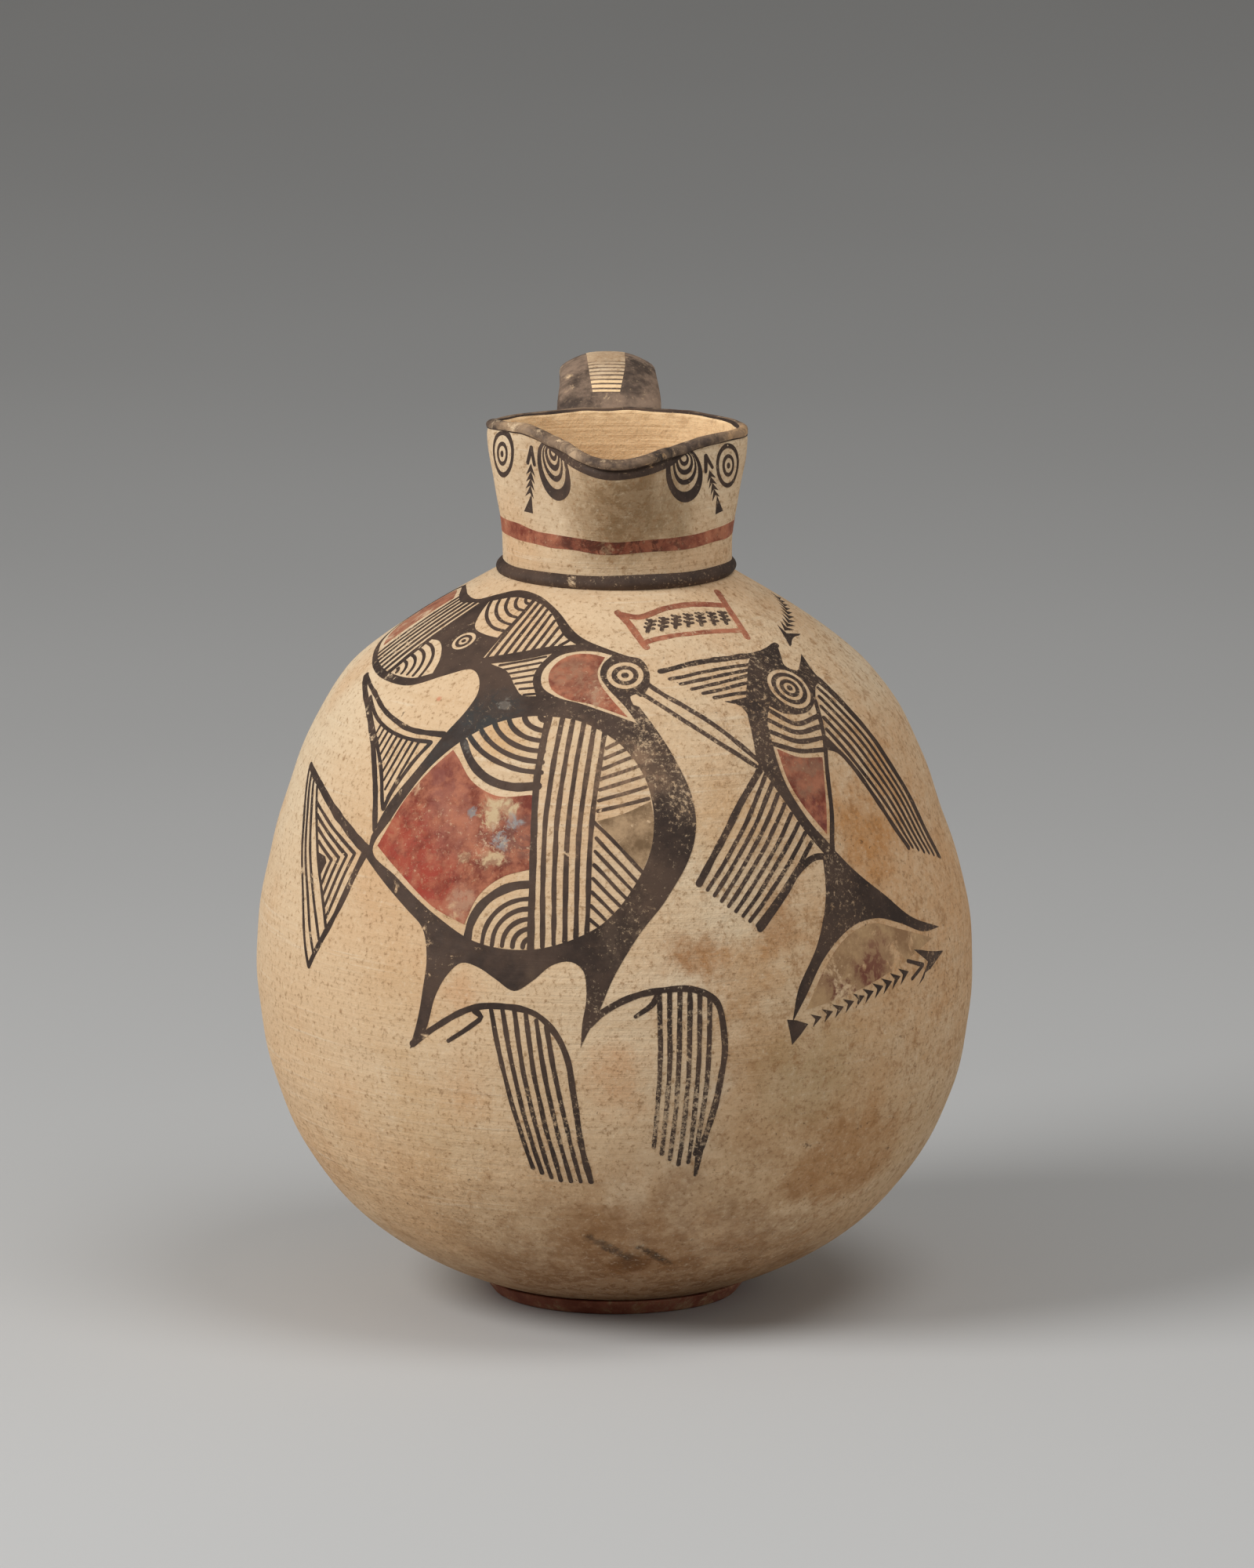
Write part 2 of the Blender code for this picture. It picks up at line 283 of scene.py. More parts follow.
SECTION = body_section()
UPPER_WALL = SECTION[SECTION[:, 1] >= BELLY_HEIGHT][::-1]
SECTION_RUN = run_along(SECTION)
SECTION_RUN -= SECTION_RUN[np.argmax(SECTION[:, 0])]
RUN_LOW = SECTION_RUN[0]
RUN_HIGH = SECTION_RUN[-1]


def soft_ridges(turn, height):
    """Return how far the hand-made wall stands off its true section, in metres."""
    slow = OUT_OF_ROUND * np.sin(2 * turn + 0.8) * np.sin(np.pi * height / SEAT_HEIGHT)
    waves = WHEEL_RIDGE * np.sin(height / WHEEL_PITCH + 1.3 * np.sin(turn + 1.0))
    dents = DENT * np.sin(5 * turn + height / DENT_SLANT) * np.sin(height / DENT_PITCH)
    right, left = np.clip(np.sin(turn), 0, 1) ** 2, np.clip(-np.sin(turn), 0, 1) ** 2
    right_flank = (bulge(height, *RIGHT_SWELL) + bulge(height, *RIGHT_HOLLOW)) * right
    return slow + waves + dents + right_flank + bulge(height, *LEFT_SWELL) * left


def body_surface(turn, run):
    """Return points of the body's outside at an angle from the front and a run up the wall."""
    radius = np.interp(run, SECTION_RUN, SECTION[:, 0])
    height = np.interp(run, SECTION_RUN, SECTION[:, 1])
    ends = np.clip((run - RUN_LOW) / EVEN_END, 0, 1) * np.clip((RUN_HIGH - run) / EVEN_END, 0, 1)
    reach = radius + soft_ridges(turn, height) * ends
    return turned(reach, turn, height, bulge(height, *LEAN))


def signed_turn(turn):
    return np.remainder(turn + np.pi, 2 * np.pi) - np.pi


def from_spout(turn):
    return np.abs(signed_turn(turn))


def mouth_radius(turn):
    """Return the trefoil's reach at an angle from the spout."""
    angle = from_spout(turn)
    front = eased(np.clip(angle / PINCH_ANGLE, 0, 1) ** SPOUT_FULLNESS)
    side = eased((angle - PINCH_ANGLE) / (LOBE_ANGLE - PINCH_ANGLE))
    back = eased((angle - LOBE_ANGLE) / (np.pi - LOBE_ANGLE))
    reach = SPOUT_REACH + (PINCH_RADIUS - SPOUT_REACH) * front
    return reach + (LOBE_RADIUS - PINCH_RADIUS) * side + (MOUTH_BACK - LOBE_RADIUS) * back


def rim_height(turn):
    """Return the rim's height: low at the spout, uneven at its two sides and raised under the handle."""
    angle, signed = from_spout(turn), np.degrees(signed_turn(turn))
    dip = SPOUT_DROP * (1 - eased(angle / DIP_TURN)) + bulge(signed, *RIGHT_SAG)
    reach = np.where(signed < LEFT_RISE_PLACE, LEFT_RISE_BEHIND, LEFT_RISE_BEFORE)
    back = BACK_RISE * eased((angle - BACK_RISE_START) / BACK_RISE_TURN)
    rise = bulge(signed, LEFT_RISE, LEFT_RISE_PLACE, reach) + back
    return RIM_HEIGHT - dip + rise + RIM_WAVER * np.sin(11 * turn)


NECK_WALL_TOP = NECK_LENGTH - LIP_UP * (1 - math.sin(LIP_START))
LIP_RUN = (LIP_END - LIP_START) * LIP_PACE
NECK_INSIDE = NECK_WALL_TOP + LIP_RUN


def lip_size(turn):
    """Return how full the rolled lip is, its share of the height at the spout and how far it stands out."""
    full = 1 - eased(from_spout(turn) / LOBE_ANGLE)
    return full, LIP_SLIGHT + (1 - LIP_SLIGHT) * full, LIP_LOBE_OUT + (LIP_OUT - LIP_LOBE_OUT) * full


def lip_wear(turn, run):
    """Return the small unevenness and the chips of the lip."""
    share = (run - NECK_WALL_TOP) / LIP_RUN
    on_lip = np.clip(share * LIP_FADE + 1, 0, 1) * np.clip((1 - share) * LIP_FADE + 1, 0, 1)
    uneven = LIP_COARSE * np.sin(17 * turn + run / 0.0016) + LIP_FINE * np.sin(29 * turn - run / 0.0013)
    for angle, place, size in CHIPS:
        along = (turn - angle) * NECK_RADIUS / size / CHIP_LENGTH
        uneven = uneven - CHIP_DEPTH * np.exp(-(along ** 2 + ((share - place) * LIP_RUN / size) ** 2))
    return uneven * on_lip


def neck_surface(turn, run):
    """Return points of the neck along a run that goes up the outside, over the lip and down the inside."""
    turn, run = np.broadcast_arrays(turn, run)
    lip_angle = LIP_START + np.clip(run - NECK_WALL_TOP, 0, LIP_RUN) / LIP_PACE
    full, roll, out = lip_size(turn)
    half = (NECK_WALL + out) / 2
    lip_drop = LIP_UP * (1 - np.sin(lip_angle)) * roll
    lip_offset = out - half * (1 - np.cos(lip_angle)) * np.where(lip_angle < 0, full, 1.0)
    on_wall, inside = run < NECK_WALL_TOP, run > NECK_INSIDE
    lip_foot = (NECK_LENGTH - NECK_WALL_TOP) * roll
    wall_drop = NECK_LENGTH - run / NECK_WALL_TOP * (NECK_LENGTH - lip_foot)
    drop = np.where(on_wall, wall_drop, lip_drop + np.clip(run - NECK_INSIDE, 0, None))
    foot_offset = out - half * (1 - math.cos(LIP_START)) * full
    offset = np.where(on_wall, foot_offset * eased(run / NECK_WALL_TOP), lip_offset)
    settle = np.clip((run - NECK_INSIDE) / LIP_SETTLE, 0, 1)
    offset = np.where(inside, lip_offset + (-NECK_WALL - lip_offset) * settle, offset)
    crease = LIP_CREASE * (CREASE_LEAST + (1 - CREASE_LEAST) * full)
    offset = offset - bulge(run, crease, NECK_WALL_TOP, CREASE_WIDTH)
    level = 1 - drop / NECK_LENGTH
    blend = eased((level - PINCH_START) / (1 - PINCH_START))
    reach = NECK_RADIUS + (mouth_radius(turn) - NECK_RADIUS) * blend + offset
    height = SEAT_HEIGHT + (rim_height(turn) - SEAT_HEIGHT) * level
    reach = reach + NECK_RIPPLE * np.sin(height / 0.0025 + 0.6 * np.sin(turn)) + lip_wear(turn, run)
    return turned(reach, turn, height, NECK_SHIFT)


def handle_middle():
    """Return the strap's middle line as (distance behind the axis, height)."""
    half_thick = HANDLE_THICKNESS / 2
    root_reach = MOUTH_BACK + half_thick
    back_reach = NECK_RADIUS + HANDLE_GAP + HANDLE_THICKNESS + half_thick
    top_reach = (root_reach + back_reach) / 2
    top = HANDLE_TOP - half_thick
    landing = np.interp(HANDLE_LANDING, UPPER_WALL[:, 0], UPPER_WALL[:, 1])
    waist = landing + (top - landing) * HANDLE_WAIST
    stations = [
        (root_reach - HANDLE_THICKNESS, RIM_HEIGHT - HANDLE_ROOT_DROP, HANDLE_ROOT_HEADING, HANDLE_THICKNESS),
        (top_reach, top, 0.0, (top_reach - root_reach) * TOP_PULL),
        (back_reach, waist, -math.pi / 2, (top - waist) * WAIST_PULL),
        (HANDLE_LANDING, landing - HANDLE_SINK, HANDLE_LANDING_HEADING, (waist - landing) * LANDING_PULL),
    ]
    pieces = []
    t = np.linspace(0.0, 1.0, 60)[:, None]
    for (x0, z0, a0, p0), (x1, z1, a1, p1) in zip(stations, stations[1:]):
        start, end = np.array((x0, z0)), np.array((x1, z1))
        leave = start + np.array((math.cos(a0), math.sin(a0))) * p0
        arrive = end - np.array((math.cos(a1), math.sin(a1))) * p1
        first_half = (1 - t) ** 3 * start + 3 * (1 - t) ** 2 * t * leave
        bend = first_half + 3 * (1 - t) * t ** 2 * arrive + t ** 3 * end
        pieces.append(bend if not pieces else bend[1:])
    return np.vstack(pieces)


STRAP = handle_middle()
STRAP_RUN = run_along(STRAP)
STRAP_HEADING = np.unwrap(np.arctan2(*np.gradient(STRAP, axis=0).T[::-1]))
STRAP_LENGTH = STRAP_RUN[-1]


def rounded(corners, radius, steps=5):
    """Return a closed outline whose corners are rounded off."""
    points = []
    corners = np.array(corners)
    for before, here, after in zip(np.roll(corners, 1, 0), corners, np.roll(corners, -1, 0)):
        back, ahead = before - here, after - here
        start = here + back * min(radius / np.hypot(*back), 0.45)
        end = here + ahead * min(radius / np.hypot(*ahead), 0.45)
        for t in np.linspace(0.0, 1.0, steps):
            points.append((1 - t) ** 2 * start + 2 * t * (1 - t) * here + t ** 2 * end)
    return np.array(points)


def strap_section():
    """Return the strap's section as (across, outward): flat on top, falling away to both edges."""
    half_width, half_thick = HANDLE_WIDTH / 2, HANDLE_THICKNESS / 2
    right = [
        (HANDLE_FACET / 2, half_thick),
        (half_width, half_thick - HANDLE_SIDE_DROP),
        (half_width, HANDLE_EDGE - half_thick),
        (half_width - HANDLE_EDGE, -half_thick),
    ]
    left = [(-across, out) for across, out in reversed(right)]
    return rounded(right + left, HANDLE_ROUND)


STRAP_SECTION = strap_section()
STRAP_UPPER = STRAP_SECTION[STRAP_SECTION[:, 1] > 0]
STRAP_UPPER = STRAP_UPPER[np.argsort(STRAP_UPPER[:, 0])]


def strap_size(run):
    """Return the strap's growth towards its two roots."""
    from_root = np.maximum(run - ROOT_RUN, 0.0)
    from_landing = np.maximum(STRAP_LENGTH - LANDING_RUN - run, 0.0)
    near = [bulge(away, 1.0, 0.0, FLARE_REACH) for away in (from_root, from_landing)]
    return 1 + HANDLE_FLARE * (near[0] + near[1])


def strap_place(across, out, run):
    """Return points of the strap from their place in the section and their run along it."""
    heading = np.interp(run, STRAP_RUN, STRAP_HEADING)
    behind = np.interp(run, STRAP_RUN, STRAP[:, 0]) - np.sin(heading) * out
    height = np.interp(run, STRAP_RUN, STRAP[:, 1]) + np.cos(heading) * out
    sway = HANDLE_SWAY * np.sin(run / SWAY_LENGTH)
    return np.stack((across * strap_size(run) + sway + HANDLE_SHIFT, behind, height), axis=-1)


def strap_surface(across, run):
    """Return points of the strap's outer face."""
    return strap_place(across, np.interp(across, STRAP_UPPER[:, 0], STRAP_UPPER[:, 1]), run)


def add_piece(name, mesh, material, slot, *nodes):
    """Add a piece that rides on the jug, with its finish and the CAD nodes that it stands for."""
    piece = bpy.data.objects.new(name, mesh)
    bpy.context.scene.collection.objects.link(piece)
    mesh.materials.append(material)
    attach(piece, "root")
    if nodes:
        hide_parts(*nodes)


def skinned(name, rows, ring=False, capped=False):
    """Return a smooth mesh over rows of points that each close on themselves."""
    rows = np.array(rows)
    count, columns = rows.shape[:2]
    vertices = [tuple(point) for point in rows.reshape(-1, 3)]
    faces = []
    for row in range(count if ring else count - 1):
        here, above = row * columns, (row + 1) % count * columns
        for column in range(columns):
            after = (column + 1) % columns
            faces.append((here + column, here + after, above + after, above + column))
    for row in (0, count - 1) if capped else ():
        vertices.append(tuple(rows[row].mean(axis=0)))
        for column in range(columns):
            faces.append((row * columns + column, row * columns + (column + 1) % columns, len(vertices) - 1))
    mesh = bpy.data.meshes.new(name)
    mesh.from_pydata(vertices, [], faces)
    skin = bmesh.new()
    skin.from_mesh(mesh)
    bmesh.ops.recalc_face_normals(skin, faces=skin.faces)
    skin.to_mesh(mesh)
    skin.free()
    mesh.shade_smooth()
    return mesh


def full_turn(count):
    return np.linspace(0.0, 2 * np.pi, count, endpoint=False)


def lathe_rows(profile, turns):
    """Return rows of points turned about the axis from (radius, height) pairs."""
    return [turned(radius, turns, np.full_like(turns, height)) for radius, height in profile]


def make_body(material):
    """Make the hollow body: its floor and wall inside, its outside and its base."""
    turns = full_turn(256)
    floor = BASE_HEIGHT + BODY_FLOOR
    bore = NECK_RADIUS - NECK_WALL
    slope = np.gradient(SECTION, SECTION_RUN, axis=0)
    inner = SECTION + np.stack((-slope[:, 1], slope[:, 0]), axis=-1) * BODY_WALL
    inner = inner[(inner[:, 1] > floor) & (inner[:, 0] > bore)][::8]
    inside = [(inner[0][0] * share, floor) for share in (0.08, 0.4, 0.7, 0.96)]
    inside += [tuple(point) for point in inner]
    inside.append((bore, SEAT_HEIGHT))
    base = [(FOOT_RADIUS * share, BASE_HEIGHT) for share in (0.95, 0.6, 0.3, 0.08)]
    rows = lathe_rows(inside, turns)
    rows += [body_surface(turns, np.full_like(turns, run)) for run in np.linspace(RUN_HIGH, RUN_LOW, 236)]
    rows += lathe_rows(base, turns)
    add_piece("jug_body", skinned("jug_body", rows, capped=True), material, "clay", "body")


def make_neck(material):
    """Make the neck, its rows closest at the lip."""
    turns = full_turn(300)
    runs = np.concatenate((
        np.linspace(-0.0008, NECK_WALL_TOP - 0.003, 44),
        np.linspace(NECK_WALL_TOP - 0.0026, NECK_INSIDE, 44),
        np.linspace(NECK_INSIDE + 0.0012, NECK_INSIDE + NECK_LENGTH - 2 * LIP_UP, 30),
    ))
    rows = [neck_surface(turns, np.full_like(turns, run)) for run in runs]
    add_piece("jug_neck", skinned("jug_neck", rows, ring=True), material, "clay", "neck")


def make_neck_ring(material):
    """Make the low rounded ridge, its edges running out onto the shoulder and the neck."""
    turns = full_turn(240)
    tilt = RIDGE_TILT * np.cos(turns)
    waver = tilt + RIDGE_SAG * np.sin(2 * turns + 0.4) + RIDGE_WAVER * np.sin(7 * turns)
    rows = []
    for share in np.linspace(0.0, 1.0, 22):
        depth = RIDGE_DEPTH * math.sin(math.pi * share) ** RIDGE_ROUND
        radius = NECK_RADIUS + RIDGE_SPREAD * (1 - share) ** 2 + depth - RIDGE_BURIED
        height = SEAT_HEIGHT - RIDGE_LOW + RIDGE_HEIGHT * share + waver * share
        rows.append(turned(radius, turns, height, NECK_SHIFT * share))
    back = [(NECK_RADIUS - RIDGE_BACK, SEAT_HEIGHT + level) for level in RIDGE_BACK_LEVELS]
    rows += lathe_rows(back, turns)
    add_piece("jug_neck_ring", skinned("jug_neck_ring", rows, ring=True), material, "dark_slip", "neck_ring")


def make_foot(material):
    """Make the ring foot, its side flaring up to the body and its edges worn round."""
    inner, top = FOOT_RADIUS - FOOT_WIDTH, BASE_HEIGHT + FOOT_LAP
    outline = rounded([
        (inner, 0.0),
        (FOOT_RADIUS - FOOT_TUCK, 0.0),
        (FOOT_RADIUS + FOOT_SWELL, BASE_HEIGHT * 0.5),
        (FOOT_RADIUS + FOOT_FLARE, top),
        (inner, top),
    ], FOOT_EDGE, 7)
    rows = lathe_rows(outline, full_turn(200))
    add_piece("jug_foot", skinned("jug_foot", rows, ring=True), material, "red_slip", "foot_ring")


def above_shoulder(point):
    """Return how far a point stands off the shoulder, along the shoulder's slope."""
    reach = math.hypot(point[0], point[1])
    near, far = np.interp((reach, reach + MM), UPPER_WALL[:, 0], UPPER_WALL[:, 1])
    return (point[2] - near) * math.cos(math.atan2(near - far, MM))


def off_neck(point):
    """Return how far a point stands off the outside of the neck."""
    turn = np.arctan2(point[0] - NECK_SHIFT, -point[1])
    run = np.clip(point[2] - SEAT_HEIGHT, 0.0, NECK_WALL_TOP)
    wall = neck_surface(turn, run)
    return math.hypot(point[0] - NECK_SHIFT, point[1]) - math.hypot(wall[0] - NECK_SHIFT, wall[1])


def fillet(away, radius):
    """Return how much a root swells at a distance from the clay that it stands on."""
    gap = np.clip(away, 0.0, radius)
    return radius - math.sqrt(radius ** 2 - (radius - gap) ** 2)


def rooted(across, out, normal, run):
    """Return a point of the strap, swelling into its roots and held within the clay under them."""
    point = strap_place(across, out, run)
    if run > STRAP_LENGTH / 2:
        swell = fillet(above_shoulder(point), LANDING_FILLET)
    else:
        swell = fillet(off_neck(point), ROOT_FILLET) * (normal[1] < ROOT_UNDERSIDE)
    point = strap_place(across + normal[0] * swell, out + normal[1] * swell, run)
    if run > STRAP_LENGTH / 2:
        point[2] -= min(above_shoulder(point) + LANDING_DEPTH, 0.0)
    elif off_neck(point) < -ROOT_DEPTH:
        share = 1 - (off_neck(point) + ROOT_DEPTH) / math.hypot(point[0] - NECK_SHIFT, point[1])
        point[:2] = NECK_SHIFT + (point[0] - NECK_SHIFT) * share, point[1] * share
    return point


def make_handle(material):
    """Make the strap, its section rooted in the clay at both ends."""
    edge = np.roll(STRAP_SECTION, -1, 0) - np.roll(STRAP_SECTION, 1, 0)
    normals = np.stack((-edge[:, 1], edge[:, 0]), axis=-1) / np.hypot(*edge.T)[:, None]
    normals *= np.sign(np.sum(normals * STRAP_SECTION))
    rows = []
    for run in np.linspace(0.0, STRAP_LENGTH, 170):
        rows.append([rooted(*place, normal, run) for place, normal in zip(STRAP_SECTION, normals)])
    add_piece("jug_handle", skinned("jug_handle", rows, capped=True), material, "dark_slip", "handle")


class Chart:
    """An unrolled surface that places points given in millimetres across and along it."""

    def __init__(self, surface, across):
        self.surface = surface
        self.across = across

    def spot(self, points):
        return points[:, 0] / self.across, points[:, 1] / PER_METRE

    def place(self, points, lift):
        """Return where points of the chart lie, lifted off the surface."""
        u, v = self.spot(points)
        du, dv = PROBE / self.across, PROBE / PER_METRE
        right = self.surface(u + du, v) - self.surface(u - du, v)
        ahead = self.surface(u, v + dv) - self.surface(u, v - dv)
        normal = np.cross(right, ahead)
        normal /= np.linalg.norm(normal, axis=1)[:, None]
        return self.surface(u, v) + normal * lift

    def stretch(self, points):
        """Return the true width of a millimetre across the chart at each point."""
        u, v = self.spot(np.atleast_2d(points))
        half = 0.5 / self.across
        wide = self.surface(u + half, v) - self.surface(u - half, v)
        return np.linalg.norm(wide, axis=1) / MM

    def stretch_along(self, x, heights):
        """Return the stretch at one place across the chart and several heights."""
        return self.stretch(np.stack((np.full_like(heights, x), heights), -1))


BODY_CHART = Chart(body_surface, BELLY_RADIUS / MM)
NECK_CHART = Chart(neck_surface, NECK_RADIUS / MM)
STRAP_CHART = Chart(strap_surface, PER_METRE)


def smooth(points, step=LINE_STEP, closed=False):
    """Return a soft curve through a few points, as points about a step apart."""
    points = np.array(points, float)
    if len(points) == 2 and not closed:
        count = max(int(np.hypot(*(points[1] - points[0])) / step), 2)
        return points[0] + (points[1] - points[0]) * np.linspace(0, 1, count + 1)[:, None]
    last = len(points) if closed else len(points) - 1
    drawn = []
    for index in range(last):
        if closed:
            a, b, c, d = (points[(index + shift) % len(points)] for shift in (-1, 0, 1, 2))
        else:
            b, c = points[index], points[index + 1]
            a = points[index - 1] if index else 2 * b - c
            d = points[index + 2] if index + 2 < len(points) else 2 * c - b
        pace = [max(np.hypot(*(q - p)), 1e-6) ** 0.5 for p, q in ((a, b), (b, c), (c, d))]
        leave = (c - b) - pace[1] / (pace[0] + pace[1]) * ((c - b) - (b - a) * pace[1] / pace[0])
        arrive = (c - b) - pace[1] / (pace[1] + pace[2]) * ((c - b) - (d - c) * pace[1] / pace[2])
        count = max(int(np.hypot(*(c - b)) / step), 2)
        t = np.linspace(0, 1, count, endpoint=False)[:, None]
        h00, h10 = 2 * t ** 3 - 3 * t ** 2 + 1, t ** 3 - 2 * t ** 2 + t
        h01, h11 = -2 * t ** 3 + 3 * t ** 2, t ** 3 - t ** 2
        drawn.append(h00 * b + h10 * leave + h01 * c + h11 * arrive)
    if not closed:
        drawn.append(points[-1:])
    return np.vstack(drawn)


def spread(points, count):
    """Return evenly spaced points along a soft curve."""
    line = smooth(points, 0.5)
    run = run_along(line)
    at = np.linspace(0.0, run[-1], count)
    return np.stack((np.interp(at, run, line[:, 0]), np.interp(at, run, line[:, 1])), axis=-1)


class Painting:
    """Shapes painted on a chart, later ones over earlier ones, made into one film for each slip."""

    def __init__(self, name, chart, grid=(5.2, 4.0)):
        self.name = name
        self.chart = chart
        self.grid = grid
        self.points = []
        self.faces = []
        self.colours = []
        self.strokes = 0

    def shape(self, colour, ring):
        """Add one filled outline over what is painted so far."""
        ring = np.asarray(ring, float)
        x, y = ring[:, 0], ring[:, 1]
        area = np.sum(x * np.roll(y, -1) - np.roll(x, -1) * y) / 2
        if abs(area) < LEAST_AREA:
            return
        start = len(self.points)
        self.points.extend(map(tuple, ring if area > 0 else ring[::-1]))
        self.faces.append(list(range(start, start + len(ring))))
        self.colours.append(colour)

    def fill(self, colour, *runs):
        """Fill an outline of soft runs that meet at corners, or of one soft closed run."""
        if len(runs) == 1:
            outline = smooth(runs[0], closed=True)
        else:
            outline = np.vstack([smooth(run)[:-1] for run in runs])
        self.shape(colour, self.shaken(outline, FILL_WOBBLE))

    def shaken(self, line, share=1.0):
        """Return a line with the small wavering of a hand-held brush."""
        self.strokes += 1
        moved = line.copy()
        for point in moved:
            x, y = point * WOBBLE_RATE
            sway = noise.noise_vector(Vector((x, y, self.strokes * WOBBLE_STEP)))
            point += np.array(sway[:2]) * WOBBLE * share
        return moved

    def band(self, colour, half_girth, low, high, sag=0.0):
        """Fill a wavering band all the way round, closed behind, its low edge sagging at the front."""
        turns = np.linspace(-half_girth, half_girth, 190)
        close = np.clip((half_girth - np.abs(turns)) / BAND_CLOSE, 0, 1)
        edges = []
        for level in (low, high):
            waver = [BAND_WOBBLE * noise.noise(Vector((x * BAND_RATE, level, 0.0))) for x in turns]
            dip = sag * (level == low) * np.exp(-(turns / half_girth / SAG_SHARE) ** 4)
            edges.append(np.stack((turns, level + close * waver - dip), axis=-1))
        side = smooth([(half_girth, low), (half_girth, high)], 0.6)[1:-1]
        self.shape(colour, np.vstack((edges[0], side, edges[1][::-1], side[::-1] * (-1, 1))))

    def disc(self, colour, centre, radius, squash=1.0, lean=0.0):
        """Fill a disc that is round on the clay."""
        angles = full_turn(max(int(radius * 9), 14))
        along = radius * squash * np.sin(angles)
        across = radius * np.cos(angles) + lean * along
        y = centre[1] + along
        x = centre[0] + across / self.chart.stretch_along(centre[0], y)
        self.shape(colour, self.shaken(np.stack((x, y), -1), DISC_WOBBLE))

    def target(self, centre, radii, **form):
        """Paint rings, from the outermost radius in, dark and bare by turns."""
        for index, radius in enumerate(radii):
            self.disc("bare" if index % 2 else "dark", centre, radius, **form)

    def stroke(self, points, width, taper=(1.0, 1.0), colour="dark"):
        """Draw a brush line of a true width through points, with round ends."""
        line = self.shaken(smooth(points))
        stretch = self.chart.stretch(line)
        across = np.cumsum(np.concatenate(((0.0,), np.diff(line[:, 0]) * stretch[1:])))
        true = np.stack((across, line[:, 1]), -1)
        heading = np.gradient(true, axis=0)
        heading /= np.maximum(np.linalg.norm(heading, axis=1), 1e-9)[:, None]
        normal = np.stack((-heading[:, 1], heading[:, 0]), axis=-1)
        share = np.linspace(0.0, 1.0, len(line))
        depth = self.strokes * WIDTH_STEP
        swell = np.array([noise.noise(Vector((x, y, depth))) for x, y in line * WIDTH_RATE])
        half = width / 2 * (taper[0] + (taper[1] - taper[0]) * share) * (1 + WIDTH_WOBBLE * swell)
        step = normal * half[:, None]
        step[:, 0] /= stretch
        left, right = line + step, line - step
        for index in range(len(line) - 1):
            self.shape(colour, (right[index], right[index + 1], left[index + 1]))
            self.shape(colour, (right[index], left[index + 1], left[index]))
        for end, sign in ((0, -1.0), (-1, 1.0)):
            turns = np.linspace(-np.pi / 2, np.pi / 2, 6)
            cap = sign * np.cos(turns)[:, None] * heading[end] + np.sin(turns)[:, None] * normal[end]
            cap = cap * half[end]
            cap[:, 0] /= stretch[end]
            self.shape(colour, line[end] + cap)

    def hatch(self, starts, ends, count, width, middles=None, taper=(1.0, 0.85)):
        """Draw dark lines from one guide to another, bent through a guide between them if there is one."""
        guides = [spread(starts, count), spread(ends, count)]
        if middles is not None:
            guides.insert(1, spread(middles, count))
        for points in zip(*guides):
            self.stroke(points, width, taper)

    def arcs(self, centre, axes, start, end, width):
        """Draw nested dark oval arcs about one centre, given as true half sizes across and along."""
        angles = np.radians(np.linspace(start, end, 7))
        for across, along in axes:
            y = centre[1] + along * np.sin(angles)
            x = centre[0] + across * np.cos(angles) / self.chart.stretch_along(centre[0], y)
            self.stroke(np.stack((x, y), -1), width)

    def darts(self, path, count, size, grow=1.0):
        """Fill a row of small dark arrow heads, notched, that point back along a path."""
        places = spread(path, count + 1)
        for index in range(count):
            place, ahead = places[index], places[index + 1] - places[index]
            stretch = self.chart.stretch(place)[0]
            heading = math.atan2(ahead[1], ahead[0] * stretch)
            reach = size * (1 + (grow - 1) * index / count)
            corners = []
            for side, back in ((0.0, 0.0), (-0.55, 1.0), (0.0, 0.62), (0.55, 1.0)):
                along = np.array((math.cos(heading), math.sin(heading))) * back
                beside = np.array((-math.sin(heading), math.cos(heading))) * side
                corners.append(place + (along + beside) * reach / (stretch, 1.0))
            self.shape("dark", self.shaken(np.array(corners)))

    def dry(self, finishes):
        """Make the films, one for each slip, as thin closed solids."""
        corners = np.array(self.points)
        low, high = corners.min(axis=0), corners.max(axis=0)
        across = np.arange(low[0], high[0], self.grid[0])
        along = np.arange(low[1], high[1], self.grid[1])
        grid = [(x, y) for x in across for y in along]
        points = [Vector(point) for point in self.points + grid]
        solved = delaunay_2d_cdt(points, [], self.faces, 1, WELD, True)
        flat = np.array([tuple(point) for point in solved[0]])
        sorted_faces = {}
        for face, sources in zip(solved[2], solved[5]):
            if sources:
                sorted_faces.setdefault(self.colours[max(sources)], []).append(face)
        for colour, faces in sorted_faces.items():
            if colour in finishes:
                name = f"{self.name}_{colour}"
                add_piece(name, self.film(name, flat, faces), *finishes[colour])

    def film(self, name, flat, faces):
        """Return a closed mesh over the faces, its underside buried in the clay."""
        used = sorted({index for face in faces for index in face})
        renamed = {old: new for new, old in enumerate(used)}
        top = self.chart.place(flat[used], FILM)
        bottom = self.chart.place(flat[used], -BURIED)
        count = len(used)
        upper = [tuple(renamed[index] for index in face) for face in faces]
        edges = dict.fromkeys(edge for face in upper for edge in zip(face, face[1:] + face[:1]))
        rim = [(b, a, a + count, b + count) for a, b in edges if (b, a) not in edges]
        lower = [tuple(index + count for index in reversed(face)) for face in upper]
        mesh = bpy.data.meshes.new(name)
        mesh.from_pydata([tuple(p) for p in np.vstack((top, bottom))], [], upper + lower + rim)
        mesh.validate()
        mesh.shade_smooth()
        mesh.set_sharp_from_angle(angle=math.radians(50))
        return mesh


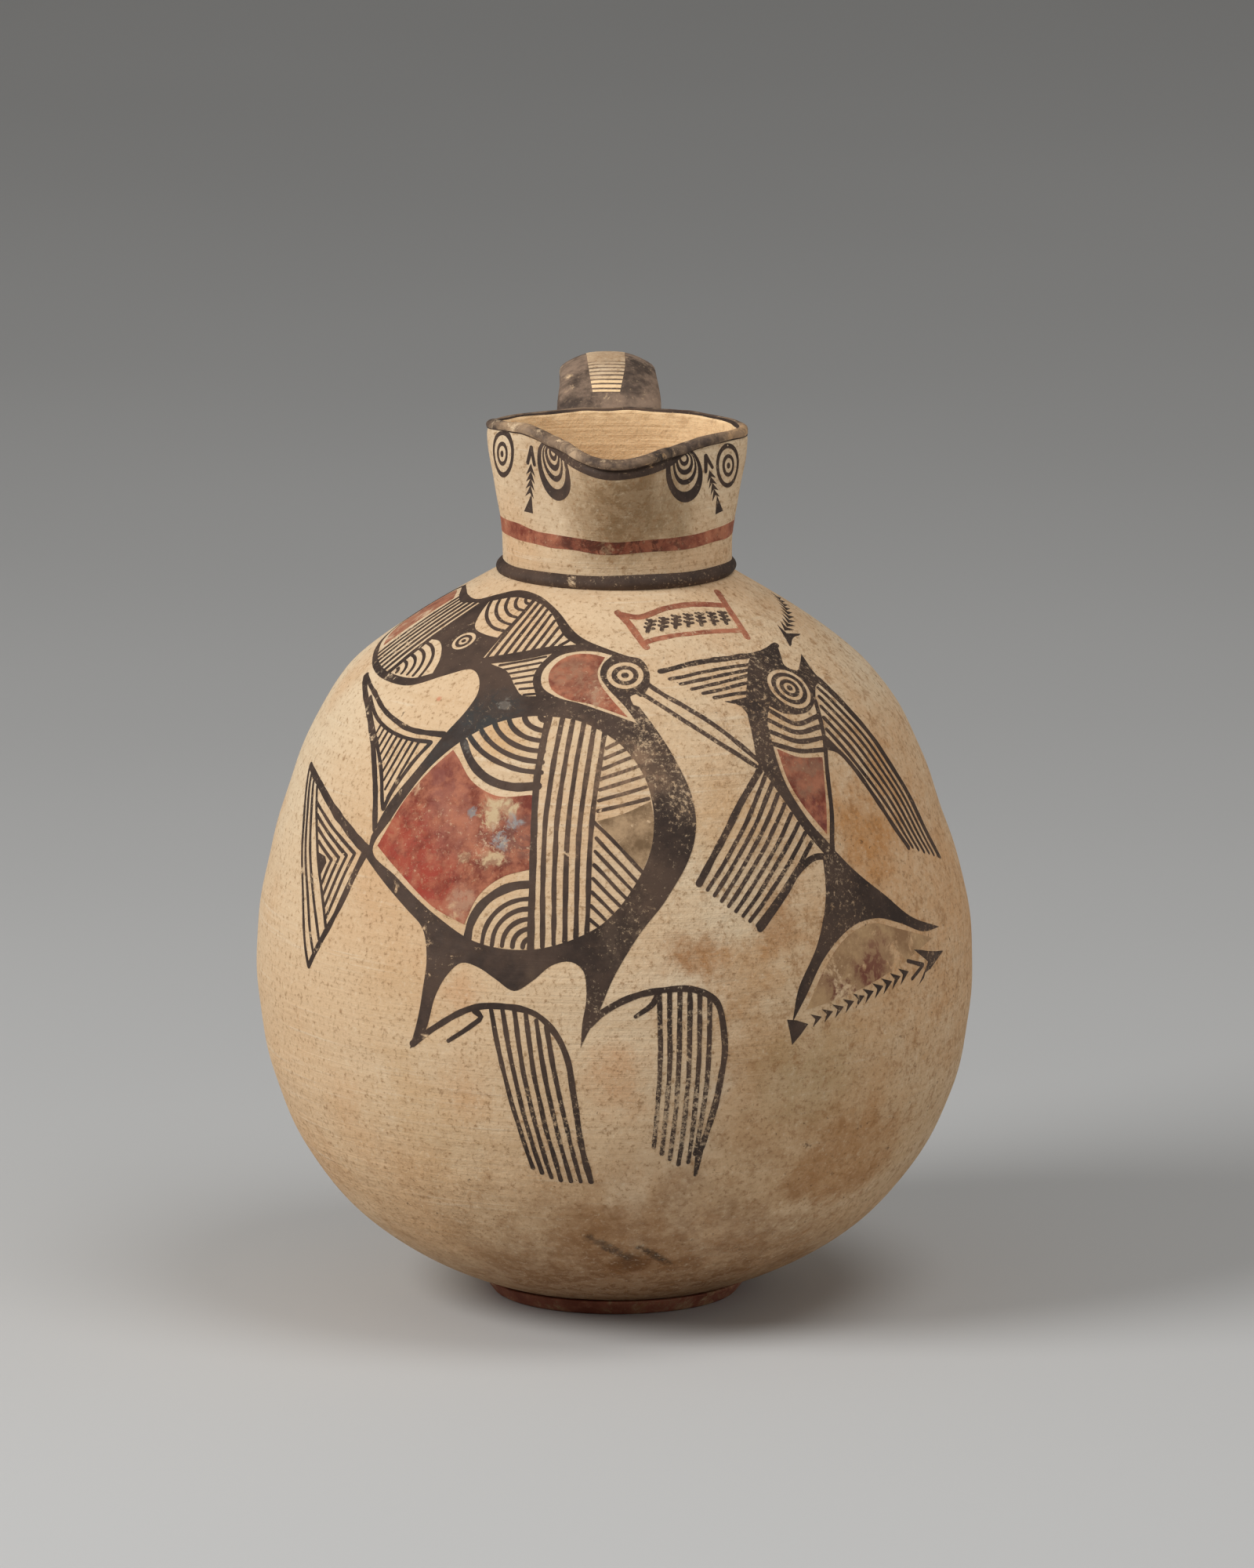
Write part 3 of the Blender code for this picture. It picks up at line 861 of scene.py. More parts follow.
def paint_bird_body(page):
    """Paint the bird's dark shape and the bare ground inside its body."""
    page.fill(
        "dark",
        [(-93, 55), (-88, 66), (-78, 80), (-70, 92), (-64, 101), (-63, 107), (-67, 113), (-75, 116.2),
         (-88, 112), (-103, 106), (-120, 105), (-140, 106.5), (-160, 110), (-180, 114.2), (-198, 121)],
        [(-198, 121), (-206, 130), (-202, 140), (-190, 145.5)],
        [(-190, 145.5), (-170, 146), (-150, 145.2), (-127, 145.3), (-112, 149.5), (-97, 152.8), (-80, 153),
         (-60, 150.5), (-40, 144.5), (-20, 134.5), (0, 128.5), (10, 125.7), (17, 124), (20, 119),
         (19.3, 113)],
        [(19.3, 113), (15, 108.5), (10, 108.5)],
        [(10, 108.5), (16, 101), (25, 87.5), (30.3, 72), (28, 58), (17, 41.5), (8, 31), (0, 18.5), (-5, 7),
         (-9, -1), (-10.7, -4.5)],
        [(-10.7, -4.5), (-10.2, 3), (-9, 11), (-10, 19.5), (-14, 22.3), (-20, 21), (-26, 16), (-32, 12.5),
         (-38, 15.7), (-44, 19), (-50, 20), (-55, 15.5), (-59, 8), (-61.5, -1), (-64.5, -6.5), (-68, -9)],
        [(-68, -9), (-65.5, -1), (-63.5, 9), (-62.5, 20), (-65, 29), (-72, 34.5), (-82, 41), (-93, 48)],
        [(-93, 48), (-93, 55)],
    )
    page.fill("bare", [
        (-91, 51), (-85, 62), (-73, 80), (-57, 93), (-42, 99), (-25, 100.5), (-10, 98.5), (5, 91), (13, 81),
        (15.3, 70), (13, 57), (5, 43.5), (-5, 33.5), (-20, 27), (-32, 25.3), (-46, 27), (-60, 33.5),
        (-78, 44),
    ])


def paint_bird_panel(page):
    """Paint what fills the bird's round body: a red diamond, fans, upright stripes and hatching."""
    page.fill(
        "red",
        [(-89, 52.5), (-80, 69.5), (-72, 79.5), (-64.4, 86.6)],
        [(-64.4, 86.6), (-61, 84), (-54, 77.6), (-47, 74.3), (-41, 73), (-28.4, 74.2)],
        [(-28.4, 74), (-28.4, 50.5)],
        [(-28.4, 50.5), (-38, 47.5), (-45.5, 41.5), (-50, 32)],
        [(-50, 32), (-62, 36.5), (-76, 45), (-89, 52.5)],
    )
    page.stroke([(-60.5, 89.6), (-56.5, 84.8), (-51, 80.4), (-44, 77.3), (-36, 76.4), (-27, 77.2)], 2.7)
    page.arcs((-26, 100.5), [(28.6 - 5.2 * n, 19 - 3.5 * n) for n in range(6)], 190, 270, 1.65)
    page.arcs((-26.7, 26.3), [(21.4, 19.6)], 178, 92, 2.6)
    page.arcs((-26.7, 26.3), [(16.3 - 3.35 * n, 15.2 - 3.1 * n) for n in range(5)], 180, 90, 1.45)
    page.stroke([(-25.8, 100), (-27.4, 80), (-27.4, 60), (-27, 26)], 2.2)
    page.hatch(
        [(-19.8, 100), (-11, 98.8), (-1.7, 95.5)], [(-23.2, 26.5), (-16.5, 28.5), (-9, 31)], 5, 1.55,
        [(-23.6, 62), (-15.3, 62), (-7.4, 62)], (1.0, 1.0),
    )
    page.hatch(
        [(-1, 90), (-3.5, 79), (-4.7, 69.5)], [(4, 92.2), (9.5, 86.8), (13, 80), (14, 73.5)], 7, 1.15,
        taper=(1.0, 0.9),
    )
    page.fill("umber", [(-5, 66.4), (4, 68.6), (14.6, 72.5)], [(14.6, 72.5), (15, 66), (13, 57), (9.4, 50.5)],
              [(9.4, 50.5), (2, 59), (-5, 66.4)])
    page.stroke([(-6, 66), (-1, 61.5), (10, 50)], 1.25)
    page.hatch([(-5.5, 61), (-7, 46.5), (-8, 35.5)], [(8, 47), (2, 40), (-5.5, 33.6)], 7, 1.25)


def paint_bird_head(page):
    """Paint the head: its eye, the red drop behind it, the long beak and the hatched crest."""
    page.fill(
        "bare",
        [(-20, 130.4), (-30, 134.3), (-38, 139.5), (-45, 143.5), (-55, 147), (-70.5, 149.7)],
        [(-70.5, 149.7), (-71.5, 136), (-73, 121.6)],
        [(-73, 121.6), (-50, 126.6), (-36, 129.4), (-20, 130.4)],
    )
    page.hatch(
        [(-71, 121), (-53, 126), (-31, 130)], [(-69.5, 150.4), (-51, 145.6), (-33, 136.4), (-26, 132.8)],
        9, 1.15, taper=(1.0, 0.95),
    )
    page.stroke([(-72, 120.5), (-50, 125.6), (-34, 128.5), (-20, 130)], 1.7)
    page.fill(
        "bare",
        [(-66, 119.6), (-50, 122.4), (-33.5, 126.4)],
        [(-33.5, 126.4), (-38, 120.5), (-38.6, 115), (-34, 107.8)],
        [(-34, 107.8), (-41, 107.8), (-46, 111.2), (-54, 117), (-66, 119.6)],
    )
    page.hatch([(-60, 119.4), (-48.5, 113.6), (-40, 108)], [(-36.5, 124.6), (-38.8, 118), (-35, 108.6)],
               7, 1.0)
    page.fill(
        "bare",
        [(1, 126.2), (-8, 127.8), (-20, 127.6), (-30, 124.8), (-35, 118.5), (-33, 112.3), (-25, 108.2),
         (-12, 105.4), (0, 102), (12, 98.4)],
        [(12, 98.4), (7, 104.6), (-1, 112.2), (-5, 117.5), (-4, 122.3), (1, 126.2)],
    )
    page.fill(
        "red",
        [(-3.2, 125.3), (-12, 126.7), (-22, 126), (-29, 122.3), (-31.2, 117.5), (-28.5, 111.8), (-20, 107.6),
         (-8, 105.4), (8, 100.6)],
        [(8, 100.6), (0, 108.6), (-5, 114.5), (-6.4, 119.5), (-3.2, 125.3)],
    )
    page.fill(
        "bare",
        [(12.5, 109.5), (9.5, 108.4), (10.8, 105.2)], [(10.8, 105.2), (14.6, 104.4), (16.6, 106.8)],
        [(16.6, 106.8), (12.5, 109.5)],
    )
    page.stroke([(3.5, 110.8), (8, 105.5), (13, 100.5), (17, 97)], 2.1)
    page.target((7.6, 117.4), (7.4, 5.8, 4.2, 2.6, 1.2))
    page.stroke([(17.5, 114), (25, 109), (35, 103), (47, 95), (60, 83.5)], 1.6)
    page.stroke([(13, 110.8), (20, 106.5), (35, 97), (47, 89.3), (58, 81.8)], 1.5)


def paint_bird_wing(page):
    """Paint the raised wing: its stripes, its red tip, two fans of arcs and an eye."""
    page.fill(
        "bare",
        [(-124, 144), (-142, 141.8), (-160, 142.8)],
        [(-160, 142.8), (-160.5, 127), (-160, 112)],
        [(-160, 112), (-147, 110), (-135, 108.6), (-126, 108)],
        [(-126, 108), (-122.5, 126), (-117, 144)],
        [(-117, 144), (-124, 144)],
    )
    page.hatch(
        [(-127.5, 107.6), (-143, 108.8), (-157, 111)], [(-117.5, 145), (-136, 142.8), (-157, 143)], 7, 1.6,
        [(-122.8, 128), (-139, 126), (-157, 126)], (1.0, 1.0),
    )
    page.fill(
        "bare",
        [(-159.5, 142.8), (-175, 144), (-190, 143.6), (-199, 138), (-201, 130), (-196, 122), (-180, 115.8),
         (-159.5, 112.2)],
        [(-159.5, 112.2), (-160, 127), (-159.5, 142.8)],
    )
    page.fill(
        "red",
        [(-163.5, 141.2), (-177, 142.4), (-189, 141.8), (-196.5, 137), (-198, 130), (-193, 123.2),
         (-180, 118), (-163.5, 114.6)],
        [(-163.5, 114.6), (-164, 127), (-163.5, 141.2)],
    )
    page.fill(
        "bare",
        [(-112, 145.6), (-107, 140.4), (-98, 134), (-85, 131.6), (-74, 131)],
        [(-74, 131), (-72, 141), (-72, 149.6)],
        [(-72, 149.6), (-90, 149.8), (-103, 147.8), (-112, 145.6)],
    )
    page.arcs((-72, 150.6), [(16.2 - 3.4 * n, 16.4 - 3.4 * n) for n in range(5)], 192, 268, 1.1)
    page.fill(
        "bare",
        [(-121.5, 124.8), (-114, 125), (-106, 122.5), (-99, 117.5), (-96, 112)],
        [(-96, 112), (-105, 108.8), (-116, 108), (-125, 108.2)],
        [(-125, 108.2), (-123, 117), (-121.5, 124.8)],
    )
    page.arcs((-123.4, 109), [(14 - 3.1 * n, 14 - 3.1 * n) for n in range(5)], 3, 88, 1.15)
    page.disc("bare", (-95.5, 127.3), 4.1)
    page.target((-95.5, 127.3), (2.9, 1.8, 0.8))


def paint_bird_back_fin(page):
    """Paint the hatched plume between the wing and the tail."""
    page.stroke([(-144, 104.2), (-125, 100.2), (-105, 94.3), (-88, 91.1), (-71, 91.3)], 1.8, (0.8, 1.1))
    page.stroke([(-144, 104), (-127, 97), (-115, 90.5), (-105, 81.5), (-96, 69), (-92, 57.5)], 2.2)
    page.stroke([(-125, 98.4), (-113, 93), (-100, 89.4), (-88, 88), (-76, 88.2)], 1.3)
    page.stroke([(-125, 98), (-115, 91.5), (-105, 84.5), (-96, 75), (-90.3, 64.5)], 1.4)
    page.stroke([(-76, 88), (-82, 80.5), (-87, 72), (-90, 64.5)], 1.4)
    page.hatch(
        [(-82, 87.8), (-95.5, 88.5), (-107, 91)], [(-89.5, 68), (-95.5, 75.5), (-107.6, 87.8)], 9, 0.95,
    )


def paint_bird_tail(page):
    """Paint the tail of nested angles."""
    page.stroke([(-148, 70.3), (-130, 65.3), (-110, 57.2), (-91, 49.3)], 2.7, (0.85, 1.35))
    page.stroke([(-94.5, 49), (-98, 41), (-105.5, 26), (-115, 10.3)], 2.4, (1.1, 0.8))
    page.hatch(
        [(-148, 69), (-144.5, 68), (-140, 66.5), (-134.5, 65.4)],
        [(-115.3, 10.2), (-113, 15), (-110.5, 20), (-108, 24)], 4, 1.45,
        [(-130, 40), (-124, 36.5), (-119, 35.2), (-116, 38)],
    )
    left, corner, foot = np.array([(-130.5, 60.5), (-99.5, 48.6), (-109, 26.5)], float)
    steps = np.array([(8.5, -11.5), (-11.8, -3.8), (-5.5, 10.0)]) / 3
    for step in range(4):
        tip = corner + steps[1] * step
        page.stroke((left + steps[0] * step, tip), 1.25)
        page.stroke((tip, foot + steps[2] * step), 1.25)
    page.shape("dark", [(-120.5, 45.8), (-115.5, 45.2), (-114, 43.5), (-116, 39.5)])


def paint_bird_feet(page):
    """Paint the two legs with their long hatched feathers."""
    page.stroke(
        [(-67, -7.5), (-58, -0.8), (-46, 6), (-34, 7.3), (-25, 5.5), (-19, 0), (-15, -8), (-13, -21),
         (-10.5, -41), (-8.3, -51)], 2.0, (1.0, 0.95),
    )
    page.stroke([(-45, 5.4), (-42.9, 3.6), (-46, 0.6), (-54, -5)], 2.0, (1.0, 0.6))
    page.hatch(
        [(-39.5, 6), (-30, 6), (-21.5, 1.5)], [(-28, -46.5), (-20, -50.5), (-11.8, -51)], 6, 1.55,
        [(-34.5, -18), (-26, -20), (-17.8, -20)], (1.0, 0.9),
    )
    page.stroke(
        [(-8, 2.5), (-4.5, 6), (4, 11), (15, 13.5), (25, 13.2), (32, 9), (34.5, -4), (33.5, -16), (31, -29),
         (28, -40)], 2.0,
    )
    page.stroke([(28, -40), (27.4, -49)], 3.0, (0.8, 0.4))
    page.stroke([(13.4, 12.4), (11.8, 9.2), (6.3, 5.2)], 2.1, (1.0, 0.55))
    page.hatch(
        [(13.8, 12.6), (21.5, 13.4), (29.7, 11.4)], [(12.6, -38), (18, -42.5), (23, -45), (26.5, -41)],
        6, 1.6,
        [(14, -12), (20, -14), (29.2, -14)], (1.0, 0.9),
    )


def paint_bird(finishes):
    page = Painting("slip_bird", BODY_CHART)
    paint_bird_feet(page)
    paint_bird_back_fin(page)
    paint_bird_tail(page)
    paint_bird_body(page)
    paint_bird_panel(page)
    paint_bird_wing(page)
    paint_bird_head(page)
    page.dry(finishes)


def paint_fish_body(page):
    """Paint the fish's dark shape, its eye, its stripes and its red belly."""
    page.fill(
        "dark",
        [(107, 124.6), (96, 123.2), (80, 120.6), (70, 112), (62.5, 101.5), (60.5, 92), (59, 83.5)],
        [(59, 83.5), (65, 72), (71, 60), (78, 50.5)],
        [(78, 50.5), (82, 51)],
        [(82, 51), (85, 62), (90.5, 78), (97, 91), (102, 101)],
        [(102, 101), (108, 105), (114.6, 106)],
        [(114.6, 106), (114.5, 110.5), (118, 118)],
        [(118, 118), (110, 114.5), (103.5, 112.2), (98.6, 115.3), (102, 119.5), (107, 124.6)],
    )
    page.target((91, 106.4), (8.9, 7.9, 6.5, 4.9, 3.6, 2.2, 1.1))
    page.fill(
        "bare",
        [(74, 101.2), (79, 98.2), (86, 96.8), (93, 97), (99.3, 99.2)],
        [(99.3, 99.2), (95.5, 90), (90, 79), (85, 65), (80.6, 54)],
        [(80.6, 54), (74, 62.5), (68.8, 75), (68, 86), (70, 96), (74, 101.2)],
    )
    page.hatch(
        [(72.5, 100), (70, 94.5), (68.5, 88.5)], [(97.5, 95), (94.5, 89.5), (92, 84)], 4, 1.55,
        [(83, 94), (81, 90), (79.5, 85)], (1.0, 1.0),
    )
    page.fill(
        "red",
        [(69.6, 86.6), (78, 83), (89.6, 81.6)],
        [(89.6, 81.6), (85.5, 71), (80.4, 57.4)],
        [(80.4, 57.4), (73.5, 67.5), (70, 77), (69.6, 86.6)],
    )
    page.stroke([(101, 100.5), (95.8, 90), (90.3, 78.5), (85, 63), (80.6, 51.5)], 1.7)


def paint_fish_fins(page):
    """Paint the hatched fins on both sides and above."""
    page.stroke([(26, 118.7), (45, 121.3), (70, 122), (90, 122), (106, 124)], 2.1, (0.9, 1.2))
    page.hatch(
        [(30, 115.2), (39.5, 110.5), (49, 106.4)], [(86, 118.4), (73, 112.8), (67, 107)], 5, 1.3,
        [(56, 117.8), (57, 112.4), (57, 107)], (1.0, 1.0),
    )
    page.fill("dark", [(53, 104.6), (60, 105), (66.5, 105.5)], [(66.5, 105.5), (64, 101), (62, 98.5)],
              [(62, 98.5), (60, 102.2), (53, 104.6)])
    page.stroke([(60.5, 81.5), (48, 70), (36, 56), (28.5, 46)], 2.2)
    page.hatch([(61.5, 79), (66, 68), (73, 55.5)], [(31.2, 44), (38, 38.4), (47, 31.8)], 8, 1.45)
    page.stroke([(79, 50.2), (73, 50.8), (66, 48), (57, 39.5), (48, 30.8)], 2.1)
    page.stroke([(113.5, 107), (119, 94), (127, 77.5), (135, 61), (145, 40)], 2.2, (1.1, 0.7))
    page.stroke([(94.5, 84.5), (99, 82.8), (105, 75), (114, 58.5), (122, 47)], 1.8)
    page.fill("dark", [(93, 84), (98, 84), (103, 79)], [(103, 79), (99, 84.5), (95.5, 89)],
              [(95.5, 89), (93, 84)])
    page.hatch(
        [(98.2, 90), (103, 98.5), (111.5, 107)], [(125, 46.5), (133.5, 43.5), (143.5, 40.5)], 6, 1.4,
        [(111, 70), (119, 74), (126.5, 77)], (1.1, 0.9),
    )


def paint_fish_tail(page):
    """Paint the forked tail, the wash under it and the chain of darts."""
    page.fill(
        "dark",
        [(76.5, 51.5), (82, 52)],
        [(82, 52), (90, 43.5), (100, 35.5), (112, 26.6), (129.5, 20.2)],
        [(129.5, 20.2), (118, 20.8), (105, 25.7), (94, 28.8), (82, 27.4), (70, 19), (62, 7.5), (57.5, 0.6)],
        [(57.5, 0.6), (60, 11), (68, 23.5), (74, 38.5), (76.5, 51.5)],
    )
    page.fill(
        "wash",
        [(62.5, 4), (70, 16), (80, 24.6), (92, 27.4), (104, 24), (123, 17.8)],
        [(123, 17.8), (108, 14), (95, 10.5), (80, 7), (62.5, 4)],
    )
    page.shape("dark", [(55.6, 1.6), (59, 1), (63.2, -0.6), (60.5, -3.6), (57.4, -6.6), (56.6, -2.5)])
    page.shape("dark", [(130.5, 12.3), (111, 16.2), (119.5, 10.8), (113.5, 4.6)])
    page.stroke([(107.5, 13.2), (116, 10.4)], 1.3)
    page.stroke([(116, 10.4), (109.5, 7.2)], 1.3)
    page.darts([(107.5, 9.8), (90, 6.4), (64, 0.2)], 10, 5.0, 0.75)


def paint_fish(finishes):
    page = Painting("slip_fish", BODY_CHART)
    paint_fish_fins(page)
    paint_fish_tail(page)
    paint_fish_body(page)
    page.dry(finishes)


def paint_shoulder(finishes):
    """Paint the red frame with its row of sprigs, and the chain that hangs from the neck."""
    page = Painting("slip_shoulder", BODY_CHART)
    page.stroke([(4, 146), (12, 140.5), (17, 134.5), (21, 129.5)], 2.3, colour="red")
    page.stroke([(6, 145), (20, 143.6), (42, 147), (70, 147.6), (97, 145)], 2.4, colour="red")
    page.stroke([(19, 131.6), (32, 133.6), (60, 134.6), (92, 133)], 1.9, colour="red")
    page.stroke([(104, 151.4), (97, 143), (90, 129.6)], 2.3, colour="red")
    for place in spread([(26, 139.2), (55, 140.6), (86, 139.6)], 7):
        page.stroke([place + (-2.4, -2.6), place + (2.0, 2.7)], 1.35)
        for rise in (-1.3, 0.5, 2.1):
            page.stroke([place + (rise * 0.8, rise), place + (rise * 0.8 + 3.4, rise + 0.1)], 1.15)
            page.stroke([place + (rise * 0.8, rise), place + (rise * 0.8 - 2.4, rise + 1.0)], 0.95)
    page.shape("dark", [(115.2, 122), (125.5, 131.6), (124.6, 127.4), (137, 125.2)])
    page.darts([(126, 128.6), (143, 131.4), (160, 134.8), (186, 139)], 9, 4.6, 0.8)
    page.dry(finishes)


def paint_neck_eyes(page, side, level, shift, top, foot):
    """Paint one half of the neck: a round eye, a chain of darts and an eye that hangs from the lip."""
    page.target((side * 46.2 - 0.9, level), (5.7, 4.5, 2.9, 1.9, 0.8), squash=1.24, lean=side * -0.1)
    hung = [(22.6, 36.2, 8.8), (23.0, 37.4, 6.8), (23.6, 38.3, 5.6), (23.9, 39.0, 4.7), (24.2, 39.6, 3.9),
            (24.4, 40.2, 2.9), (24.5, 40.6, 2.1), (24.6, 41.0, 1.2)]
    for index, (across, along, radius) in enumerate(hung):
        page.disc("bare" if index % 2 else "dark", (side * across + shift, along), radius, 1.1, -0.2)
    start, end = np.array([(top, 39.2), (foot, 20.4)])
    down = (end - start) / np.hypot(*(end - start))
    beside = np.array((-down[1], down[0]))
    for barb in (-1.4, 1.4):
        page.stroke([start + down * 4.6 + barb * beside, start], 1.4, (0.8, 1.0))
    page.darts(start + (end - start) * np.array([(0.25,), (0.7,)]), 4, 3.4)
    page.shape("dark", [(foot - side * 0.4, 25.8), (foot - 2.0, 20.2), (foot + 2.2, 20.6)])


def paint_neck(finishes):
    """Paint the neck's red band, its eyes and chains, and the dark rolled rim."""
    page = Painting("slip_neck", NECK_CHART, (1.6, 0.6))
    girth = math.pi * NECK_RADIUS / MM
    paint_neck_eyes(page, -1, 35.4, -0.7, -35.2, -33.8)
    paint_neck_eyes(page, 1, 34.4, 2.0, 36.2, 40.4)
    page.band("red", girth, 11.6, 15.9)
    lip = NECK_WALL_TOP / MM
    page.band("rim", girth, lip + 0.3, lip + 8.6, 3.3)
    page.band("dark", girth, lip + 0.3, lip + 1.1, 3.3)
    page.band("dark", girth, lip + 7.3, lip + 8.6)
    page.dry(finishes)


def paint_handle(finishes):
    """Paint the bare ladder panel that runs up and over the dark strap."""
    page = Painting("slip_handle", STRAP_CHART, (2.1, 1.1))
    start, end = PANEL_START / MM, (STRAP_LENGTH - PANEL_STOP) / MM
    crown = STRAP_RUN[np.argmax(STRAP[:, 1])] / MM
    page.fill("panel", [(-4.8, start), (3.2, start)], [(3.2, start), (5.1, start + 14), (5.4, end)],
              [(5.4, end), (-6.4, end)], [(-6.4, end), (-6.5, start + 14), (-4.8, start)])
    for rung in np.arange(start + 1.2, end - 0.5, RUNG_GAP):
        if not RUBBED_FROM < rung - crown < RUBBED_TO:
            page.stroke([(-7.2, rung), (7.2, rung)], RUNG_WIDTH)
    page.dry(finishes)


class Shader:
    """Short calls that add nodes to one material and link them."""

    def __init__(self, name):
        self.material = bpy.data.materials.new(name)
        self.material.use_nodes = True
        self.tree = self.material.node_tree
        self.surface = self.tree.nodes["Principled BSDF"]
        self.place = self.tree.nodes.new("ShaderNodeTexCoord").outputs["Object"]
        self.ragged = self.noise(55.0, 6.0, 0.68)
        self.frayed = self.noise(230.0, 6.0, 0.72, warp=0.6)

    def put(self, socket, value):
        if isinstance(value, bpy.types.NodeSocket):
            self.tree.links.new(value, socket)
        else:
            socket.default_value = value

    def reckon(self, kind, operation, first, second):
        node = self.tree.nodes.new(kind)
        node.operation = operation
        self.put(node.inputs[0], first)
        self.put(node.inputs[1], second)
        return node.outputs

    def times(self, first, second):
        return self.reckon("ShaderNodeMath", "MULTIPLY", first, second)[0]

    def plus(self, first, second):
        return self.reckon("ShaderNodeMath", "ADD", first, second)[0]

    def minus(self, first, second):
        return self.reckon("ShaderNodeMath", "SUBTRACT", first, second)[0]

    def larger(self, first, second):
        return self.reckon("ShaderNodeMath", "MAXIMUM", first, second)[0]

    def vector(self, operation, first, second=(0.0, 0.0, 0.0)):
        """Return what one step of vector maths gives, a vector or a number."""
        outputs = self.reckon("ShaderNodeVectorMath", operation, first, second)
        return outputs["Vector" if operation in ("MULTIPLY", "NORMALIZE") else "Value"]

    def scaled(self, factors):
        node = self.tree.nodes.new("ShaderNodeMapping")
        self.put(node.inputs["Vector"], self.place)
        node.inputs["Scale"].default_value = factors
        return node.outputs[0]

    def part(self, axis):
        node = self.tree.nodes.new("ShaderNodeSeparateXYZ")
        self.put(node.inputs[0], self.place)
        return node.outputs[axis]

    def noise(self, scale, detail=3.0, rough=0.55, place=None, warp=0.0):
        node = self.tree.nodes.new("ShaderNodeTexNoise")
        self.put(node.inputs["Vector"], place or self.place)
        node.inputs["Scale"].default_value = scale
        node.inputs["Detail"].default_value = detail
        node.inputs["Roughness"].default_value = rough
        node.inputs["Distortion"].default_value = warp
        return node.outputs["Fac"]

    def between(self, value, low, high, start=0.0, end=1.0):
        """Map a value from one range to another, held at the ends."""
        node = self.tree.nodes.new("ShaderNodeMapRange")
        node.interpolation_type = "SMOOTHSTEP"
        for name, number in (("From Min", low), ("From Max", high), ("To Min", start), ("To Max", end)):
            node.inputs[name].default_value = number
        self.put(node.inputs["Value"], value)
        return node.outputs["Result"]

    def mix(self, share, first, second):
        node = self.tree.nodes.new("ShaderNodeMix")
        node.data_type = "RGBA"
        colours = [socket for socket in node.inputs if socket.type == "RGBA"]
        self.put(node.inputs["Factor"], share)
        self.put(colours[0], first)
        self.put(colours[1], second)
        return [socket for socket in node.outputs if socket.type == "RGBA"][0]

    def near(self, point, radius, edge, soft):
        """Return a soft spot about a point, broken up at its edge."""
        distance = self.vector("DISTANCE", self.place, tuple(point))
        ragged = self.times(self.frayed if radius < SMALL_SPOT else self.ragged, edge * 2)
        away = self.minus(self.plus(distance, ragged), edge)
        return self.between(away, radius, radius * (1 - soft))

    def faces_axis(self):
        """Return 1 where the surface faces the jug's axis close to it, as the inside of the neck does."""
        normal = self.tree.nodes.new("ShaderNodeNewGeometry").outputs["Normal"]
        level = self.vector("MULTIPLY", self.place, (1.0, 1.0, 0.0))
        outward = self.vector("NORMALIZE", level)
        toward = self.vector("DOT_PRODUCT", outward, normal)
        distance = self.vector("LENGTH", level)
        close = self.between(distance, LOBE_RADIUS - 0.002, LOBE_RADIUS - 0.004)
        return self.times(self.between(toward, -0.05, -0.4), close)

    def finish(self, colour, rough, specular):
        """Set the surface's colour, its roughness and its specular level."""
        self.put(self.surface.inputs["Base Color"], colour)
        self.put(self.surface.inputs["Roughness"], rough)
        self.surface.inputs["Specular IOR Level"].default_value = specular

    def bump(self, height, depth):
        node = self.tree.nodes.new("ShaderNodeBump")
        node.inputs["Strength"].default_value = 1.0
        node.inputs["Distance"].default_value = depth
        self.put(node.inputs["Height"], height)
        self.put(self.surface.inputs["Normal"], node.outputs["Normal"])


def srgb(red, green, blue):
    """Return a linear colour from the 0 to 255 numbers of a screen colour."""
    def linear(channel):
        share = channel / 255
        return share / 12.92 if share <= 0.04045 else ((share + 0.055) / 1.055) ** 2.4
    return (linear(red), linear(green), linear(blue), 1.0)


def on_body(x, y):
    """Return the point of the body that lies at a place on its chart."""
    return BODY_CHART.place(np.array([(x, y)], float), 0.0)[0]


